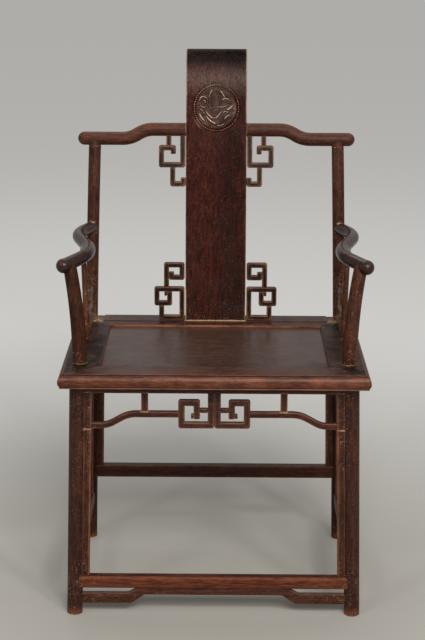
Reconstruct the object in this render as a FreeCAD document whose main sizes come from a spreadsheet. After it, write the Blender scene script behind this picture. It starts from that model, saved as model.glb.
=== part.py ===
"""Official hat chair: an armchair with a rolled back splat, built from mortised and tenoned sticks.

The origin is at the middle of the floor under the chair's bounding box, with +Z up. The chair
faces -Y, +X is to the right of a person who looks at its front. Lengths are in millimetres.
"""

import FreeCAD, Part
import math
import os
from types import SimpleNamespace

from FreeCAD import Placement, Rotation, Vector

SIZES = {
    # how well the pieces fit, and how far a cutter runs past what it cuts
    "fit": 0.1,
    "overrun": 4.0,
    # legs, set in from the seat's edges under the frame and splayed out to the floor
    "leg_inset_side": 35.0,
    "leg_inset_front": 51.0,
    "leg_inset_rear": 47.0,
    "leg_splay_side": 11.5,
    "leg_splay_depth": 18.0,
    "front_leg_radius": 15.8,
    "rear_leg_radius": 15.3,
    "post_radius": 13.2,
    "leg_tenon_side": 18.0,
    "leg_tenon_height": 19.0,
    # seat frame
    "seat_width": 616.0,
    "seat_depth": 470.0,
    "seat_top": 518.0,
    "frame_thickness": 27.0,
    "front_rail_width": 67.5,
    "side_rail_width": 78.5,
    "rear_rail_width": 86.0,
    "edge_setback": 8.0,
    "edge_bottom_setback": 9.0,
    "bead_height": 2.2,
    "bead_ledge": 2.0,
    "nose_drop": 11.5,
    "sill_inset": 30.0,
    "sill_height": 1.5,
    "mitre_tenon_inset": 10.0,
    "mitre_tenon_width": 12.0,
    "mitre_tenon_thickness": 9.0,
    "mitre_tenon_reach": 18.0,
    "mitre_tenon_lift": 4.0,
    # seat panel and the two battens under it
    "panel_recess": 4.5,
    "panel_thickness": 10.0,
    "tongue_thickness": 5.0,
    "tongue_drop": 2.0,
    "tongue_depth": 8.0,
    "batten_width": 35.0,
    "batten_offset": 115.0,
    "batten_tenon_depth": 10.0,
    "batten_tenon_thickness": 7.0,
    # strips under the frame, hump rails and their struts
    "strip_height": 21.0,
    "strip_thickness": 18.0,
    "hump_bar": 12.6,
    "hump_depth": 13.0,
    "hump_end_bottom": 394.0,
    "hump_rise": 23.8,
    "hump_rise_length": 42.0,
    "hump_flat_front": 41.0,
    "hump_flat_side": 22.0,
    "block_depth": 16.0,
    "strut_width": 14.0,
    "strut_depth": 11.0,
    "strut_offset": 139.0,
    "strut_pin": 5.0,
    "strut_pin_depth": 4.0,
    # linings down the inner sides of the legs
    "lining_reach": 13.8,
    "lining_depth": 15.0,
    # stretchers near the floor, stepped up from front to rear
    "foot_rail_top": 82.0,
    "foot_rail_height": 26.0,
    "foot_rail_depth": 26.0,
    "side_stretcher_top": 112.0,
    "rear_stretcher_top": 177.0,
    "rear_stretcher_height": 29.0,
    "stretcher_height": 26.0,
    "stretcher_width": 21.0,
    "rail_tenon_thickness": 8.0,
    "rail_tenon_reach": 9.0,
    "rail_tenon_shoulder": 4.0,
    # apron under the foot rail
    "foot_apron_bottom": 22.5,
    "foot_apron_end_height": 21.0,
    "foot_apron_middle_height": 14.5,
    "foot_apron_depth": 13.0,
    "foot_apron_flat": 168.0,
    "foot_apron_slope": 28.0,
    "foot_apron_bend": 12.0,
    # back posts, splat and crest rail, all on one curve that leans back above the seat
    "back_rake": 44.0,
    "splat_width": 131.6,
    "splat_thickness": 14.0,
    "splat_roll_radius": 20.0,
    "overall_height": 1102.0,
    "splat_tenon_width": 34.0,
    "splat_tenon_thickness": 7.0,
    "splat_tenon_depth": 14.0,
    "splat_tenon_offset": 34.0,
    "crest_half_length": 300.0,
    "crest_radius": 14.4,
    "crest_middle_height": 933.5,
    "crest_drop": 19.5,
    "crest_step_start": 153.0,
    "crest_step_length": 34.0,
    "crest_tenon_height": 12.0,
    "crest_tenon_thickness": 6.0,
    "crest_tenon_depth": 9.0,
    "post_pin_radius": 6.5,
    "post_pin_height": 7.0,
    # arms and what carries them
    "arm_back_radius": 12.4,
    "arm_front_radius": 14.0,
    "arm_ball_radius": 15.0,
    "arm_back_height": 726.0,
    "arm_front_height": 713.0,
    "arm_bow_out_side_inset": 9.0,
    "arm_bow_in_side_inset": 57.5,
    "arm_tip_side_inset": 6.5,
    "arm_tip_inset": 106.0,
    "arm_bow_in_inset": 213.0,
    "arm_bow_out_setback": 62.0,
    "arm_tenon_side": 9.0,
    "arm_tenon_depth": 9.0,
    "arm_post_side_inset": 37.0,
    "arm_post_inset": 91.0,
    "arm_post_radius": 15.0,
    "arm_post_top_radius": 13.4,
    "arm_post_flare": 20.5,
    "arm_post_lean": 31.0,
    "arm_post_pin_radius": 7.5,
    "arm_post_pin_depth": 16.0,
    "arm_pin_radius": 5.0,
    "arm_pin_height": 5.0,
    "middle_post_radius": 6.8,
    "middle_post_top_radius": 5.2,
    "middle_post_lean": 30.0,
    "middle_post_pin_radius": 4.0,
    "middle_post_pin_depth": 12.0,
    "middle_post_pin_height": 6.0,
    "middle_post_top_pin_radius": 3.0,
    # square scroll brackets
    "front_fret_bar": 13.0,
    "front_fret_depth": 13.0,
    "front_fret_width": 72.0,
    "front_fret_height": 75.0,
    "fret_pin": 6.0,
    "fret_pin_depth": 6.0,
    "bracket_bar": 11.2,
    "bracket_depth": 12.0,
    "bracket_peg": 5.0,
    "bracket_peg_depth": 5.0,
    "splat_bracket_width": 68.3,
    "splat_bracket_height": 128.6,
    "side_bracket_height": 88.0,
    "crest_bracket_width": 58.6,
    "crest_bracket_height": 106.4,
}

# Shares of the length over which a bend between two runs may use of the shorter run
BEND_SHARE = 0.48
CREST_BEND_SHARE = 0.42
HUMP_BEND_SHARE = 0.4

# Heights of the round sections of a post above the seat, as shares of its rise to the crest rail
POST_SECTION_SHARES = (0.0, 0.2, 0.4, 0.6, 0.8, 1.0)

# Heights of the round sections of the arms' front and middle posts, as shares of their rise
ARM_POST_SECTION_SHARES = (0.0, 0.25, 0.5, 0.75, 1.0)

# Where a middle post meets its arm, as a share of the run from the inner bow to the outer one
MIDDLE_POST_SHARE = 0.62

# Bars of the scroll brackets as (left, bottom, right, top, thickness) shares. The first four place
# the ends of a bar's middle line between the outermost middle lines of the bracket, and the last
# is its thickness as a share of a full bar. The left side stands against what carries the bracket.
SPLAT_BRACKET_SHARES = (
    (0.035, 0.0, 0.035, 0.543, 1.0),
    (0.0, 0.0, 0.82, 0.0, 1.0),
    (0.82, 0.0, 0.82, 0.274, 1.0),
    (0.51, 0.274, 1.0, 0.274, 1.0),
    (1.0, 0.274, 1.0, 0.543, 1.0),
    (0.51, 0.274, 0.51, 0.543, 1.0),
    (0.51, 0.463, 0.65, 0.463, 1.0),
    (0.035, 0.543, 1.0, 0.543, 1.0),
    (0.63, 0.543, 0.63, 1.0, 1.0),
    (0.035, 1.0, 0.63, 1.0, 1.0),
    (0.035, 0.765, 0.035, 1.0, 1.0),
    (0.035, 0.765, 0.44, 0.765, 1.0),
    (0.44, 0.765, 0.44, 0.83, 1.0),
)
CREST_BRACKET_SHARES = (
    (0.025, 0.426, 0.025, 1.0, 1.0),
    (0.665, 0.805, 0.665, 1.0, 1.0),
    (0.457, 0.805, 1.0, 0.805, 1.0),
    (0.457, 0.72, 0.457, 0.805, 1.0),
    (1.0, 0.426, 1.0, 0.805, 1.0),
    (0.025, 0.426, 1.0, 0.426, 1.0),
    (0.482, 0.0, 0.482, 0.426, 1.0),
    (0.0, 0.0, 0.482, 0.0, 1.0),
    (0.0, 0.0, 0.0, 0.086, 1.0),
)
FRONT_FRET_SHARES = (
    (0.0, 0.0, 0.0, 1.0, 1.0),
    (0.0, 0.0, 1.0, 0.0, 1.0),
    (1.0, 0.0, 1.0, 0.756, 1.0),
    (0.48, 0.756, 1.0, 0.756, 1.0),
    (0.48, 0.323, 0.48, 0.756, 1.0),
    (0.48, 0.3, 0.6, 0.3, 0.75),
    (0.0, 0.496, 0.48, 0.496, 0.73),
)

# Heights of the pegs that hold the brackets to the splat, as shares of a bracket's height
SPLAT_PEG_SHARE = 0.885
CREST_PEG_SHARE = 0.772

# Turns round the vertical, in degrees, that keep the seams of round bars clear of their joints
QUARTER_TURN_ANGLE = 90.0
EIGHTH_TURN_ANGLE = 45.0

doc = FreeCAD.newDocument("official_hat_chair")
sheet = doc.addObject("Spreadsheet::Sheet", "sizes")
for row, (alias, number) in enumerate(SIZES.items(), start=1):
    sheet.set(f"A{row}", alias)
    sheet.set(f"B{row}", str(number))
    sheet.setAlias(f"B{row}", alias)
doc.recompute()


class Size:
    """A length that carries both its number and the sheet expression that gives it."""

    def __init__(self, text, number):
        self.text = text
        self.number = float(number)

    def __add__(self, other):
        other = as_size(other)
        return Size(f"({self.text} + {other.text})", self.number + other.number)

    def __sub__(self, other):
        other = as_size(other)
        return Size(f"({self.text} - {other.text})", self.number - other.number)

    def __mul__(self, other):
        other = as_size(other)
        return Size(f"({self.text} * {other.text})", self.number * other.number)

    def __rsub__(self, other):
        return as_size(other) - self

    def __truediv__(self, other):
        other = as_size(other)
        return Size(f"({self.text} / {other.text})", self.number / other.number)

    def __neg__(self):
        return self * -1

    __rmul__ = __mul__

    def root(self):
        return Size(f"sqrt({self.text})", math.sqrt(self.number))

    def slope_angle(self):
        return Size(f"atan({self.text})", math.degrees(math.atan(self.number)))


def as_size(value):
    """Any plain number as a Size."""
    return value if isinstance(value, Size) else Size(f"({value})", value)


def bind(item, name, value):
    """Binds a property of an object to a size of the sheet."""
    item.setExpression(name, as_size(value).text)


dims = SimpleNamespace(**{alias: Size(f"sizes.{alias}", number) for alias, number in SIZES.items()})
ZERO = as_size(0)
SIDES = (("left", -1), ("right", 1))

# Main heights and places
under_frame = dims.seat_top - dims.frame_thickness
strip_bottom = under_frame - dims.strip_height
crest_outer_height = dims.crest_middle_height - dims.crest_drop
crest_rise = crest_outer_height - dims.seat_top
back_curve = (crest_rise * crest_rise + dims.back_rake * dims.back_rake) / (dims.back_rake * 2)
post_inset = dims.seat_depth - dims.leg_inset_rear
roll_reach = back_curve + dims.splat_thickness / 2 - dims.splat_roll_radius
roll_rise = dims.overall_height - dims.splat_roll_radius - dims.seat_top
roll_back = back_curve - (roll_reach * roll_reach - roll_rise * roll_rise).root()
front_edge = -((post_inset + roll_back + dims.splat_roll_radius) / 2)
rear_edge = front_edge + dims.seat_depth
post_foot = front_edge + post_inset
bow_in_y = front_edge + dims.arm_bow_in_inset
bow_out_y = post_foot - dims.arm_bow_out_setback
middle_top_y = bow_in_y + (bow_out_y - bow_in_y) * MIDDLE_POST_SHARE
middle_foot_y = middle_top_y - dims.middle_post_lean
opening_half = dims.seat_width / 2 - dims.side_rail_width
opening_front = front_edge + dims.front_rail_width
opening_rear = rear_edge - dims.rear_rail_width


def leg_x(height):
    """Distance of a leg's centre line, or a back post's, from the middle of the chair."""
    splay = dims.leg_splay_side * (1 - height / under_frame)
    return dims.seat_width / 2 - dims.leg_inset_side + splay


def leg_y(height, row):
    """Place of a leg's centre line in depth, for the front row or the rear row."""
    splay = dims.leg_splay_depth * (1 - height / under_frame)
    if row == "front":
        return front_edge + dims.leg_inset_front - splay
    return rear_edge - dims.leg_inset_rear + splay


def back_y(height):
    """Depth of the curve that the back posts, the splat and the crest rail share."""
    rise = height - dims.seat_top
    return post_foot + back_curve - (back_curve * back_curve - rise * rise).root()


def box(name, x, y, bottom, length, width, height):
    """A box whose middle is at x and y and whose underside is at the height bottom."""
    item = doc.addObject("Part::Box", name)
    bind(item, "Length", length)
    bind(item, "Width", width)
    bind(item, "Height", height)
    bind(item, "Placement.Base.x", x - length / 2)
    bind(item, "Placement.Base.y", y - width / 2)
    bind(item, "Placement.Base.z", bottom)
    return item


def cylinder(name, x, y, bottom, radius, height):
    """An upright round pin or the hole for one."""
    item = doc.addObject("Part::Cylinder", name)
    bind(item, "Radius", radius)
    bind(item, "Height", height)
    bind(item, "Placement.Base.x", x)
    bind(item, "Placement.Base.y", y)
    bind(item, "Placement.Base.z", bottom)
    return item


def ball(name, x, y, z, radius):
    item = doc.addObject("Part::Sphere", name)
    bind(item, "Radius", radius)
    bind(item, "Placement.Base.x", x)
    bind(item, "Placement.Base.y", y)
    bind(item, "Placement.Base.z", z)
    return item


def fused(name, items):
    item = doc.addObject("Part::MultiFuse", name)
    item.Shapes = items
    return item


def cut(name, base, tools):
    """The base without the tools."""
    item = doc.addObject("Part::Cut", name)
    item.Base = base
    item.Tool = tools[0] if len(tools) == 1 else fused(f"{name}_tools", tools)
    return item


def round_loft(name, sections, ruled, seam=0):
    """A bar through level circles, each given as its x, y, height and radius.

    seam is the direction, in degrees round the vertical, where its side face closes on itself."""
    circles = []
    for x, y, height, radius in sections:
        circle = doc.addObject("Part::Circle", f"{name}_section")
        circle.Placement = Placement(Vector(), Rotation(Vector(0, 0, 1), seam))
        bind(circle, "Radius", radius)
        bind(circle, "Placement.Base.x", x)
        bind(circle, "Placement.Base.y", y)
        bind(circle, "Placement.Base.z", height)
        circles.append(circle)
    item = doc.addObject("Part::Loft", name)
    item.Sections = circles
    item.Solid = True
    item.Ruled = ruled
    return item


def slanted_bar(name, low, high, length, width):
    """A square bar between two level ends, whose middles are the points low and high."""
    item = doc.addObject("Part::Wedge", name)
    bind(item, "Ymin", low[2])
    bind(item, "Ymax", high[2])
    bind(item, "Xmin", low[0] - length / 2)
    bind(item, "Xmax", low[0] + length / 2)
    bind(item, "X2min", high[0] - length / 2)
    bind(item, "X2max", high[0] + length / 2)
    bind(item, "Zmin", -low[1] - width / 2)
    bind(item, "Zmax", -low[1] + width / 2)
    bind(item, "Z2min", -high[1] - width / 2)
    bind(item, "Z2max", -high[1] + width / 2)
    item.Placement = Placement(Vector(), Rotation(Vector(1, 0, 0), 90))
    return item


def bent_edges(points, share):
    """Lines through the points, with an arc at each bend that uses a share of its shorter run."""
    edges = []
    start = points[0]
    for before, corner, after in zip(points, points[1:], points[2:]):
        back = (before - corner).normalize()
        ahead = (after - corner).normalize()
        reach = share * min((before - corner).Length, (after - corner).Length)
        half_turn = back.getAngle(ahead) / 2
        radius = reach * math.tan(half_turn)
        middle_ray = (back + ahead).normalize()
        leave = corner + back * reach
        join = corner + ahead * reach
        middle = corner + middle_ray * (radius / math.sin(half_turn) - radius)
        edges.append(Part.LineSegment(start, leave))
        edges.append(Part.Arc(leave, middle, join))
        start = join
    edges.append(Part.LineSegment(start, points[-1]))
    return edges


def bent_bar(name, points, share, first_radius, last_radius):
    """A round bar that is swept along a bent line and may taper from its first end to its last."""
    path = doc.addObject("Part::Feature", f"{name}_path")
    path.Shape = Part.Wire([edge.toShape() for edge in bent_edges(points, share)])
    ends = []
    ways = ((points[0], points[1] - points[0], first_radius),
            (points[-1], points[-1] - points[-2], last_radius))
    for place, way, radius in ways:
        circle = doc.addObject("Part::Circle", f"{name}_end")
        circle.Placement = Placement(place, Rotation(Vector(0, 0, 1), way))
        bind(circle, "Radius", radius)
        ends.append(circle)
    item = doc.addObject("Part::Sweep", name)
    item.Sections = ends
    item.Spine = (path, [f"Edge{number}" for number in range(1, len(path.Shape.Edges) + 1)])
    item.Solid = True
    return item


def plane_of(body, role):
    """One of a body's own origin planes."""
    return next(item for item in body.Origin.OriginFeatures if item.Role == role)


def prism(name, plane, geometry, thickness):
    """A body padded evenly to both sides of a plane from a closed outline drawn on it."""
    body = doc.addObject("PartDesign::Body", name)
    sketch = body.newObject("Sketcher::SketchObject", f"{name}_outline")
    sketch.AttachmentSupport = [(plane_of(body, plane), "")]
    sketch.MapMode = "FlatFace"
    sketch.addGeometry(geometry, False)
    pad = body.newObject("PartDesign::Pad", f"{name}_pad")
    pad.Profile = sketch
    bind(pad, "Length", thickness)
    pad.SideType = "Symmetric"
    body.Tip = pad
    return body


def polygon(corners):
    """Line segments round the corners, which are pairs of sizes."""
    places = [Vector(across.number, up.number, 0) for across, up in corners]
    return [Part.LineSegment(a, b) for a, b in zip(places, places[1:] + places[:1])]


PIECES = {}


def piece(label, blank):
    """Notes the blank of a sub-part, whose cuts and tenons are added later."""
    PIECES[label] = SimpleNamespace(blank=blank, cuts=[], tenons=[])


def scribe(label, around):
    """Shapes a piece to another one that it meets, given as a cutter with the clearance on it."""
    PIECES[label].cuts.append(around)


def tenon_box(owner, hosts, x, y, bottom, length, width, height):
    """A square tenon on its owner, and its mortise with clearance all round in each host."""
    gap = dims.fit * 2
    PIECES[owner].tenons.append(box(f"{owner}_tenon", x, y, bottom, length, width, height))
    for host in hosts:
        hole = box(f"{host}_mortise", x, y, bottom - dims.fit, length + gap, width + gap, height + gap)
        PIECES[host].cuts.append(hole)


def tenon_pin(owner, hosts, x, y, bottom, radius, height):
    """A round tenon on its owner, and its hole with clearance all round in each host."""
    PIECES[owner].tenons.append(cylinder(f"{owner}_pin", x, y, bottom, radius, height))
    for host in hosts:
        hole = cylinder(f"{host}_hole", x, y, bottom - dims.fit, radius + dims.fit,
                        height + dims.fit * 2)
        PIECES[host].cuts.append(hole)


def finish(label):
    """Cuts a blank, adds its tenons and gives the result the sub-part's label."""
    made = PIECES[label]
    item = made.blank
    if made.cuts:
        item = cut(f"{label}_cut", item, made.cuts)
    if made.tenons:
        item = fused(f"{label}_whole", [item] + made.tenons)
    item.Label = label
    return item


def legs():
    """Four splayed round legs; the rear ones pass the seat frame and go on as the back posts."""
    for side_name, side in SIDES:
        label = f"front_leg_{side_name}"
        ends = (ZERO, under_frame)
        seam = -QUARTER_TURN_ANGLE + EIGHTH_TURN_ANGLE * side
        sections = [(leg_x(z) * side, leg_y(z, "front"), z, dims.front_leg_radius) for z in ends]
        piece(label, round_loft(f"{label}_blank", sections, True, seam))
        around = [(x, y, z, radius + dims.fit) for x, y, z, radius in sections]
        clearances[label] = round_loft(f"{label}_around", around, True, seam)

        label = f"rear_leg_post_{side_name}"
        low = [(leg_x(z) * side, leg_y(z, "rear"), z, dims.rear_leg_radius) for z in ends]
        high = [(leg_x(under_frame) * side, post_foot, under_frame, dims.post_radius)]
        for share in POST_SECTION_SHARES:
            z = dims.seat_top + crest_rise * share
            high.append((leg_x(z) * side, back_y(z), z, dims.post_radius))
        seam = QUARTER_TURN_ANGLE - EIGHTH_TURN_ANGLE * side
        lower = round_loft(f"{label}_leg", low, True, seam)
        upper = round_loft(f"{label}_post", high, False, seam)
        piece(label, fused(f"{label}_blank", [lower, upper]))
        around = [(x, y, z, radius + dims.fit) for x, y, z, radius in low]
        leg_around = round_loft(f"{label}_leg_around", around, True, seam)
        around = [(x, y, z, radius + dims.fit) for x, y, z, radius in high]
        post_around = round_loft(f"{label}_post_around", around, False, seam)
        clearances[label] = leg_around
        clearances[f"{label}_upper"] = post_around


def seat_profile(edge, inner, side):
    """Section of a seat rail: a fine bead at the top, a round nose under it and a flat inside.

    It runs from its outer edge to its inner face, across the rail, where side is the sign of the
    way out."""
    top = dims.seat_top
    bead_in = edge - dims.edge_setback * side
    bead_out = bead_in + dims.bead_ledge * side
    ledge = top - dims.bead_height
    foot = edge - dims.edge_bottom_setback * side
    corners = {
        "inner_top": (inner, top),
        "bead_top": (bead_in, top),
        "bead_foot": (bead_in, ledge),
        "ledge": (bead_out, ledge),
        "nose": (edge, top - dims.nose_drop),
        "foot": (foot, under_frame),
        "inner_foot": (inner, under_frame),
    }
    place = {key: Vector(a.number, b.number, 0) for key, (a, b) in corners.items()}
    return [
        Part.LineSegment(place["inner_top"], place["bead_top"]),
        Part.LineSegment(place["bead_top"], place["bead_foot"]),
        Part.LineSegment(place["bead_foot"], place["ledge"]),
        Part.Arc(place["ledge"], place["nose"], place["foot"]),
        Part.LineSegment(place["foot"], place["inner_foot"]),
        Part.LineSegment(place["inner_foot"], place["inner_top"]),
    ]


def seat_frame():
    """Four moulded rails, mitred at the corners, with a groove inside for the panel."""
    half = dims.seat_width / 2
    length = dims.seat_width
    outer = {"front": front_edge, "rear": rear_edge}
    inner = {"front": opening_front, "rear": opening_rear}
    reach = dims.overrun + dims.frame_thickness
    groove_bottom = dims.seat_top - dims.panel_recess - dims.tongue_drop - dims.tongue_thickness
    groove = box("panel_groove", ZERO, (opening_front + opening_rear) / 2,
                 groove_bottom - dims.fit, (opening_half + dims.tongue_depth) * 2 + dims.fit * 2,
                 opening_rear - opening_front + (dims.tongue_depth + dims.fit) * 2,
                 dims.tongue_thickness + dims.fit * 2)
    for row, side in (("front", -1), ("rear", 1)):
        label = f"seat_rail_{row}"
        bar = prism(f"{label}_bar", "YZ_Plane", seat_profile(outer[row], inner[row], side), length)
        plan = prism(f"{label}_plan", "XY_Plane", polygon([
            (-half, outer[row]), (half, outer[row]), (opening_half, inner[row]),
            (-opening_half, inner[row])]), (dims.seat_top + reach) * 2)
        common = doc.addObject("Part::Common", f"{label}_mitred")
        common.Base = bar
        common.Tool = plan
        piece(label, common)
        PIECES[label].cuts.append(groove)
    for side_name, side in SIDES:
        label = f"seat_rail_{side_name}"
        bar = prism(f"{label}_bar", "XZ_Plane",
                    seat_profile(half * side, opening_half * side, side), dims.seat_depth * 2)
        plan = prism(f"{label}_plan", "XY_Plane", polygon([
            (half * side, front_edge), (half * side, rear_edge),
            (opening_half * side, opening_rear), (opening_half * side, opening_front)]),
            (dims.seat_top + reach) * 2)
        common = doc.addObject("Part::Common", f"{label}_mitred")
        common.Base = bar
        common.Tool = plan
        piece(label, common)
        PIECES[label].cuts.append(groove)
        for row, way in (("front", -1), ("rear", 1)):
            rail_width = dims.front_rail_width if row == "front" else dims.rear_rail_width
            y = inner[row] + dims.mitre_tenon_inset * way
            mitre_x = opening_half + dims.mitre_tenon_inset * dims.side_rail_width / rail_width
            tenon_box(f"seat_rail_{row}", [label], mitre_x * side, y,
                      under_frame + dims.mitre_tenon_lift, dims.mitre_tenon_reach * 2,
                      dims.mitre_tenon_width, dims.mitre_tenon_thickness)
            if row == "front":
                tenon_box(f"front_leg_{side_name}", [label, "seat_rail_front"],
                          leg_x(under_frame) * side, leg_y(under_frame, "front"),
                          under_frame, dims.leg_tenon_side,
                          dims.leg_tenon_side, dims.leg_tenon_height)
            else:
                scribe(label, clearances[f"rear_leg_post_{side_name}_upper"])
                scribe("seat_rail_rear", clearances[f"rear_leg_post_{side_name}_upper"])
    sill_front = opening_rear + dims.sill_inset
    sill_back = rear_edge - dims.edge_setback
    sill_half = leg_x(dims.seat_top) - dims.post_radius * 2
    sill = box("back_sill", ZERO, (sill_front + sill_back) / 2, dims.seat_top, sill_half * 2,
               sill_back - sill_front, dims.sill_height)
    rear = PIECES["seat_rail_rear"]
    rear.blank = fused("seat_rail_rear_stepped", [rear.blank, sill])


def seat_panel():
    """A panel that floats in the groove of the frame, and two battens that hold it flat."""
    middle = (opening_front + opening_rear) / 2
    depth = opening_rear - opening_front
    panel_bottom = dims.seat_top - dims.panel_recess - dims.panel_thickness
    tongue_bottom = dims.seat_top - dims.panel_recess - dims.tongue_drop - dims.tongue_thickness
    board = box("seat_panel_board", ZERO, middle, panel_bottom, (opening_half - dims.fit) * 2,
                depth - dims.fit * 2, dims.panel_thickness)
    tongue = box("seat_panel_tongue", ZERO, middle, tongue_bottom,
                 (opening_half + dims.tongue_depth) * 2, depth + dims.tongue_depth * 2,
                 dims.tongue_thickness)
    piece("seat_panel", fused("seat_panel_blank", [board, tongue]))
    for side_name, side in SIDES:
        label = f"seat_batten_{side_name}"
        x = dims.batten_offset * side
        height = panel_bottom - under_frame
        piece(label, box(f"{label}_blank", x, middle, under_frame, dims.batten_width, depth, height))
        tenon_box(label, ["seat_rail_front", "seat_rail_rear"], x, middle,
                  under_frame + (height - dims.batten_tenon_thickness) / 2, dims.batten_width / 2,
                  depth + dims.batten_tenon_depth * 2, dims.batten_tenon_thickness)


def cross_bar(label, row, bottom, height, depth):
    """A bar from the left leg to the right one, scribed to both and tenoned into them."""
    middle = bottom + height / 2
    y = leg_y(middle, row)
    hosts = [f"front_leg_{name}" if row == "front" else f"rear_leg_post_{name}" for name, _ in SIDES]
    piece(label, box(f"{label}_blank", ZERO, y, bottom, leg_x(middle) * 2, depth, height))
    for (_, side), host in zip(SIDES, hosts):
        scribe(label, clearances[host])
        tenon_box(label, [host], (leg_x(middle) - dims.rail_tenon_reach) * side, y,
                  bottom + dims.rail_tenon_shoulder, dims.rail_tenon_reach * 2,
                  dims.rail_tenon_thickness, height - dims.rail_tenon_shoulder * 2)


def side_bar(label, side_name, side, bottom, height, width):
    """A bar from the front leg to the rear one, scribed to both and tenoned into them."""
    middle = bottom + height / 2
    x = leg_x(middle) * side
    front = leg_y(middle, "front")
    rear = leg_y(middle, "rear")
    piece(label, box(f"{label}_blank", x, (front + rear) / 2, bottom, width, rear - front, height))
    reach = dims.rail_tenon_reach
    for host, y in ((f"front_leg_{side_name}", front + reach),
                    (f"rear_leg_post_{side_name}", rear - reach)):
        scribe(label, clearances[host])
        tenon_box(label, [host], x, y, bottom + dims.rail_tenon_shoulder,
                  dims.rail_tenon_thickness, reach * 2, height - dims.rail_tenon_shoulder * 2)


def stretchers():
    """Foot rail, side and rear stretchers, and the strips right under the seat frame."""
    cross_bar("foot_rail", "front", dims.foot_rail_top - dims.foot_rail_height,
              dims.foot_rail_height, dims.foot_rail_depth)
    cross_bar("stretcher_rear", "rear", dims.rear_stretcher_top - dims.rear_stretcher_height,
              dims.rear_stretcher_height, dims.stretcher_width)
    for row in ("front", "rear"):
        cross_bar(f"under_strip_{row}", row, strip_bottom, dims.strip_height, dims.strip_thickness)
    for side_name, side in SIDES:
        side_bar(f"stretcher_{side_name}", side_name, side,
                 dims.side_stretcher_top - dims.stretcher_height, dims.stretcher_height,
                 dims.stretcher_width)
        side_bar(f"under_strip_{side_name}", side_name, side, strip_bottom, dims.strip_height,
                 dims.strip_thickness)


def foot_apron():
    """The low arched board under the foot rail, which it meets only along its raised middle."""
    label = "foot_rail_apron"
    low = dims.foot_apron_bottom
    rail_bottom = dims.foot_rail_top - dims.foot_rail_height - dims.fit
    end_top = low + dims.foot_apron_end_height
    arch = rail_bottom - dims.foot_apron_middle_height
    end = leg_x(low)
    flat = dims.foot_apron_flat
    crown = flat - dims.foot_apron_slope
    bend = dims.foot_apron_bend
    half = [(end, low), (flat, low), (crown, arch)]
    upper = [(crown + bend, rail_bottom), (flat + bend / 2, end_top), (end, end_top)]
    left = [(-x, z) for x, z in half] + [(-x, z) for x, z in upper]
    corners = half + [(-x, z) for x, z in reversed(half)]
    corners = corners + [(-x, z) for x, z in reversed(upper)] + upper
    y = leg_y(low, "front")
    body = prism(f"{label}_blank", "XZ_Plane", polygon(corners), dims.foot_apron_depth)
    bind(body, "Placement.Base.y", y)
    piece(label, body)
    for side_name, side in SIDES:
        host = f"front_leg_{side_name}"
        scribe(label, clearances[host])
        tenon_box(label, [host], (end - dims.rail_tenon_reach) * side, y,
                  low + dims.rail_tenon_shoulder, dims.rail_tenon_reach * 2,
                  dims.foot_apron_depth / 2,
                  dims.foot_apron_end_height - dims.rail_tenon_shoulder * 2)


def block_bar(name, side, row, along, low, high, reach, depth):
    """A bar that lies against a leg, on its inner side across the chair or along its depth."""
    radius = dims.front_leg_radius if row == "front" else dims.rear_leg_radius
    away = radius / 2 + reach / 2
    inward = 1 if row == "front" else -1
    ends = []
    for z in (low, high):
        x = leg_x(z) * side
        y = leg_y(z, row)
        if along == "width":
            ends.append((x - away * side - radius * side / 2, y, z))
        else:
            ends.append((x, y + away * inward + radius * inward / 2, z))
    length = reach + radius / 2
    if along == "width":
        ends = [(x + radius * side / 4, y, z) for x, y, z in ends]
        return slanted_bar(name, ends[0], ends[1], length, depth)
    ends = [(x, y - radius * inward / 4, z) for x, y, z in ends]
    return slanted_bar(name, ends[0], ends[1], depth, length)


def hump_outline(start, stop, flat):
    """Outline of a rail that leaves a block level, rises and runs on raised.

    start is where it leaves the block and stop where it ends, both as distances from the middle
    of the span with their sign; flat is how far it stays level at first."""
    low = dims.hump_end_bottom
    high = low + dims.hump_rise
    bar = dims.hump_bar
    way = 1 if stop.number > start.number else -1
    turn = math.atan(dims.hump_rise.number / dims.hump_rise_length.number)
    shift = bar * math.tan(turn / 2)
    first = start + flat * way
    second = first + dims.hump_rise_length * way
    under = [(start, low), (first, low), (second, high), (stop, high)]
    over = [(start, low + bar), (first - shift * way, low + bar),
            (second - shift * way, high + bar), (stop, high + bar)]
    return under, over


def closed_bends(under, over):
    """A closed outline from a lower line and an upper line, with bends at their inner points."""
    lower = [Vector(a.number, b.number, 0) for a, b in under]
    upper = [Vector(a.number, b.number, 0) for a, b in over]
    edges = bent_edges(lower, HUMP_BEND_SHARE)
    edges.append(Part.LineSegment(lower[-1], upper[-1]))
    edges.extend(bent_edges(list(reversed(upper)), HUMP_BEND_SHARE))
    edges.append(Part.LineSegment(upper[0], lower[0]))
    return edges


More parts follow.
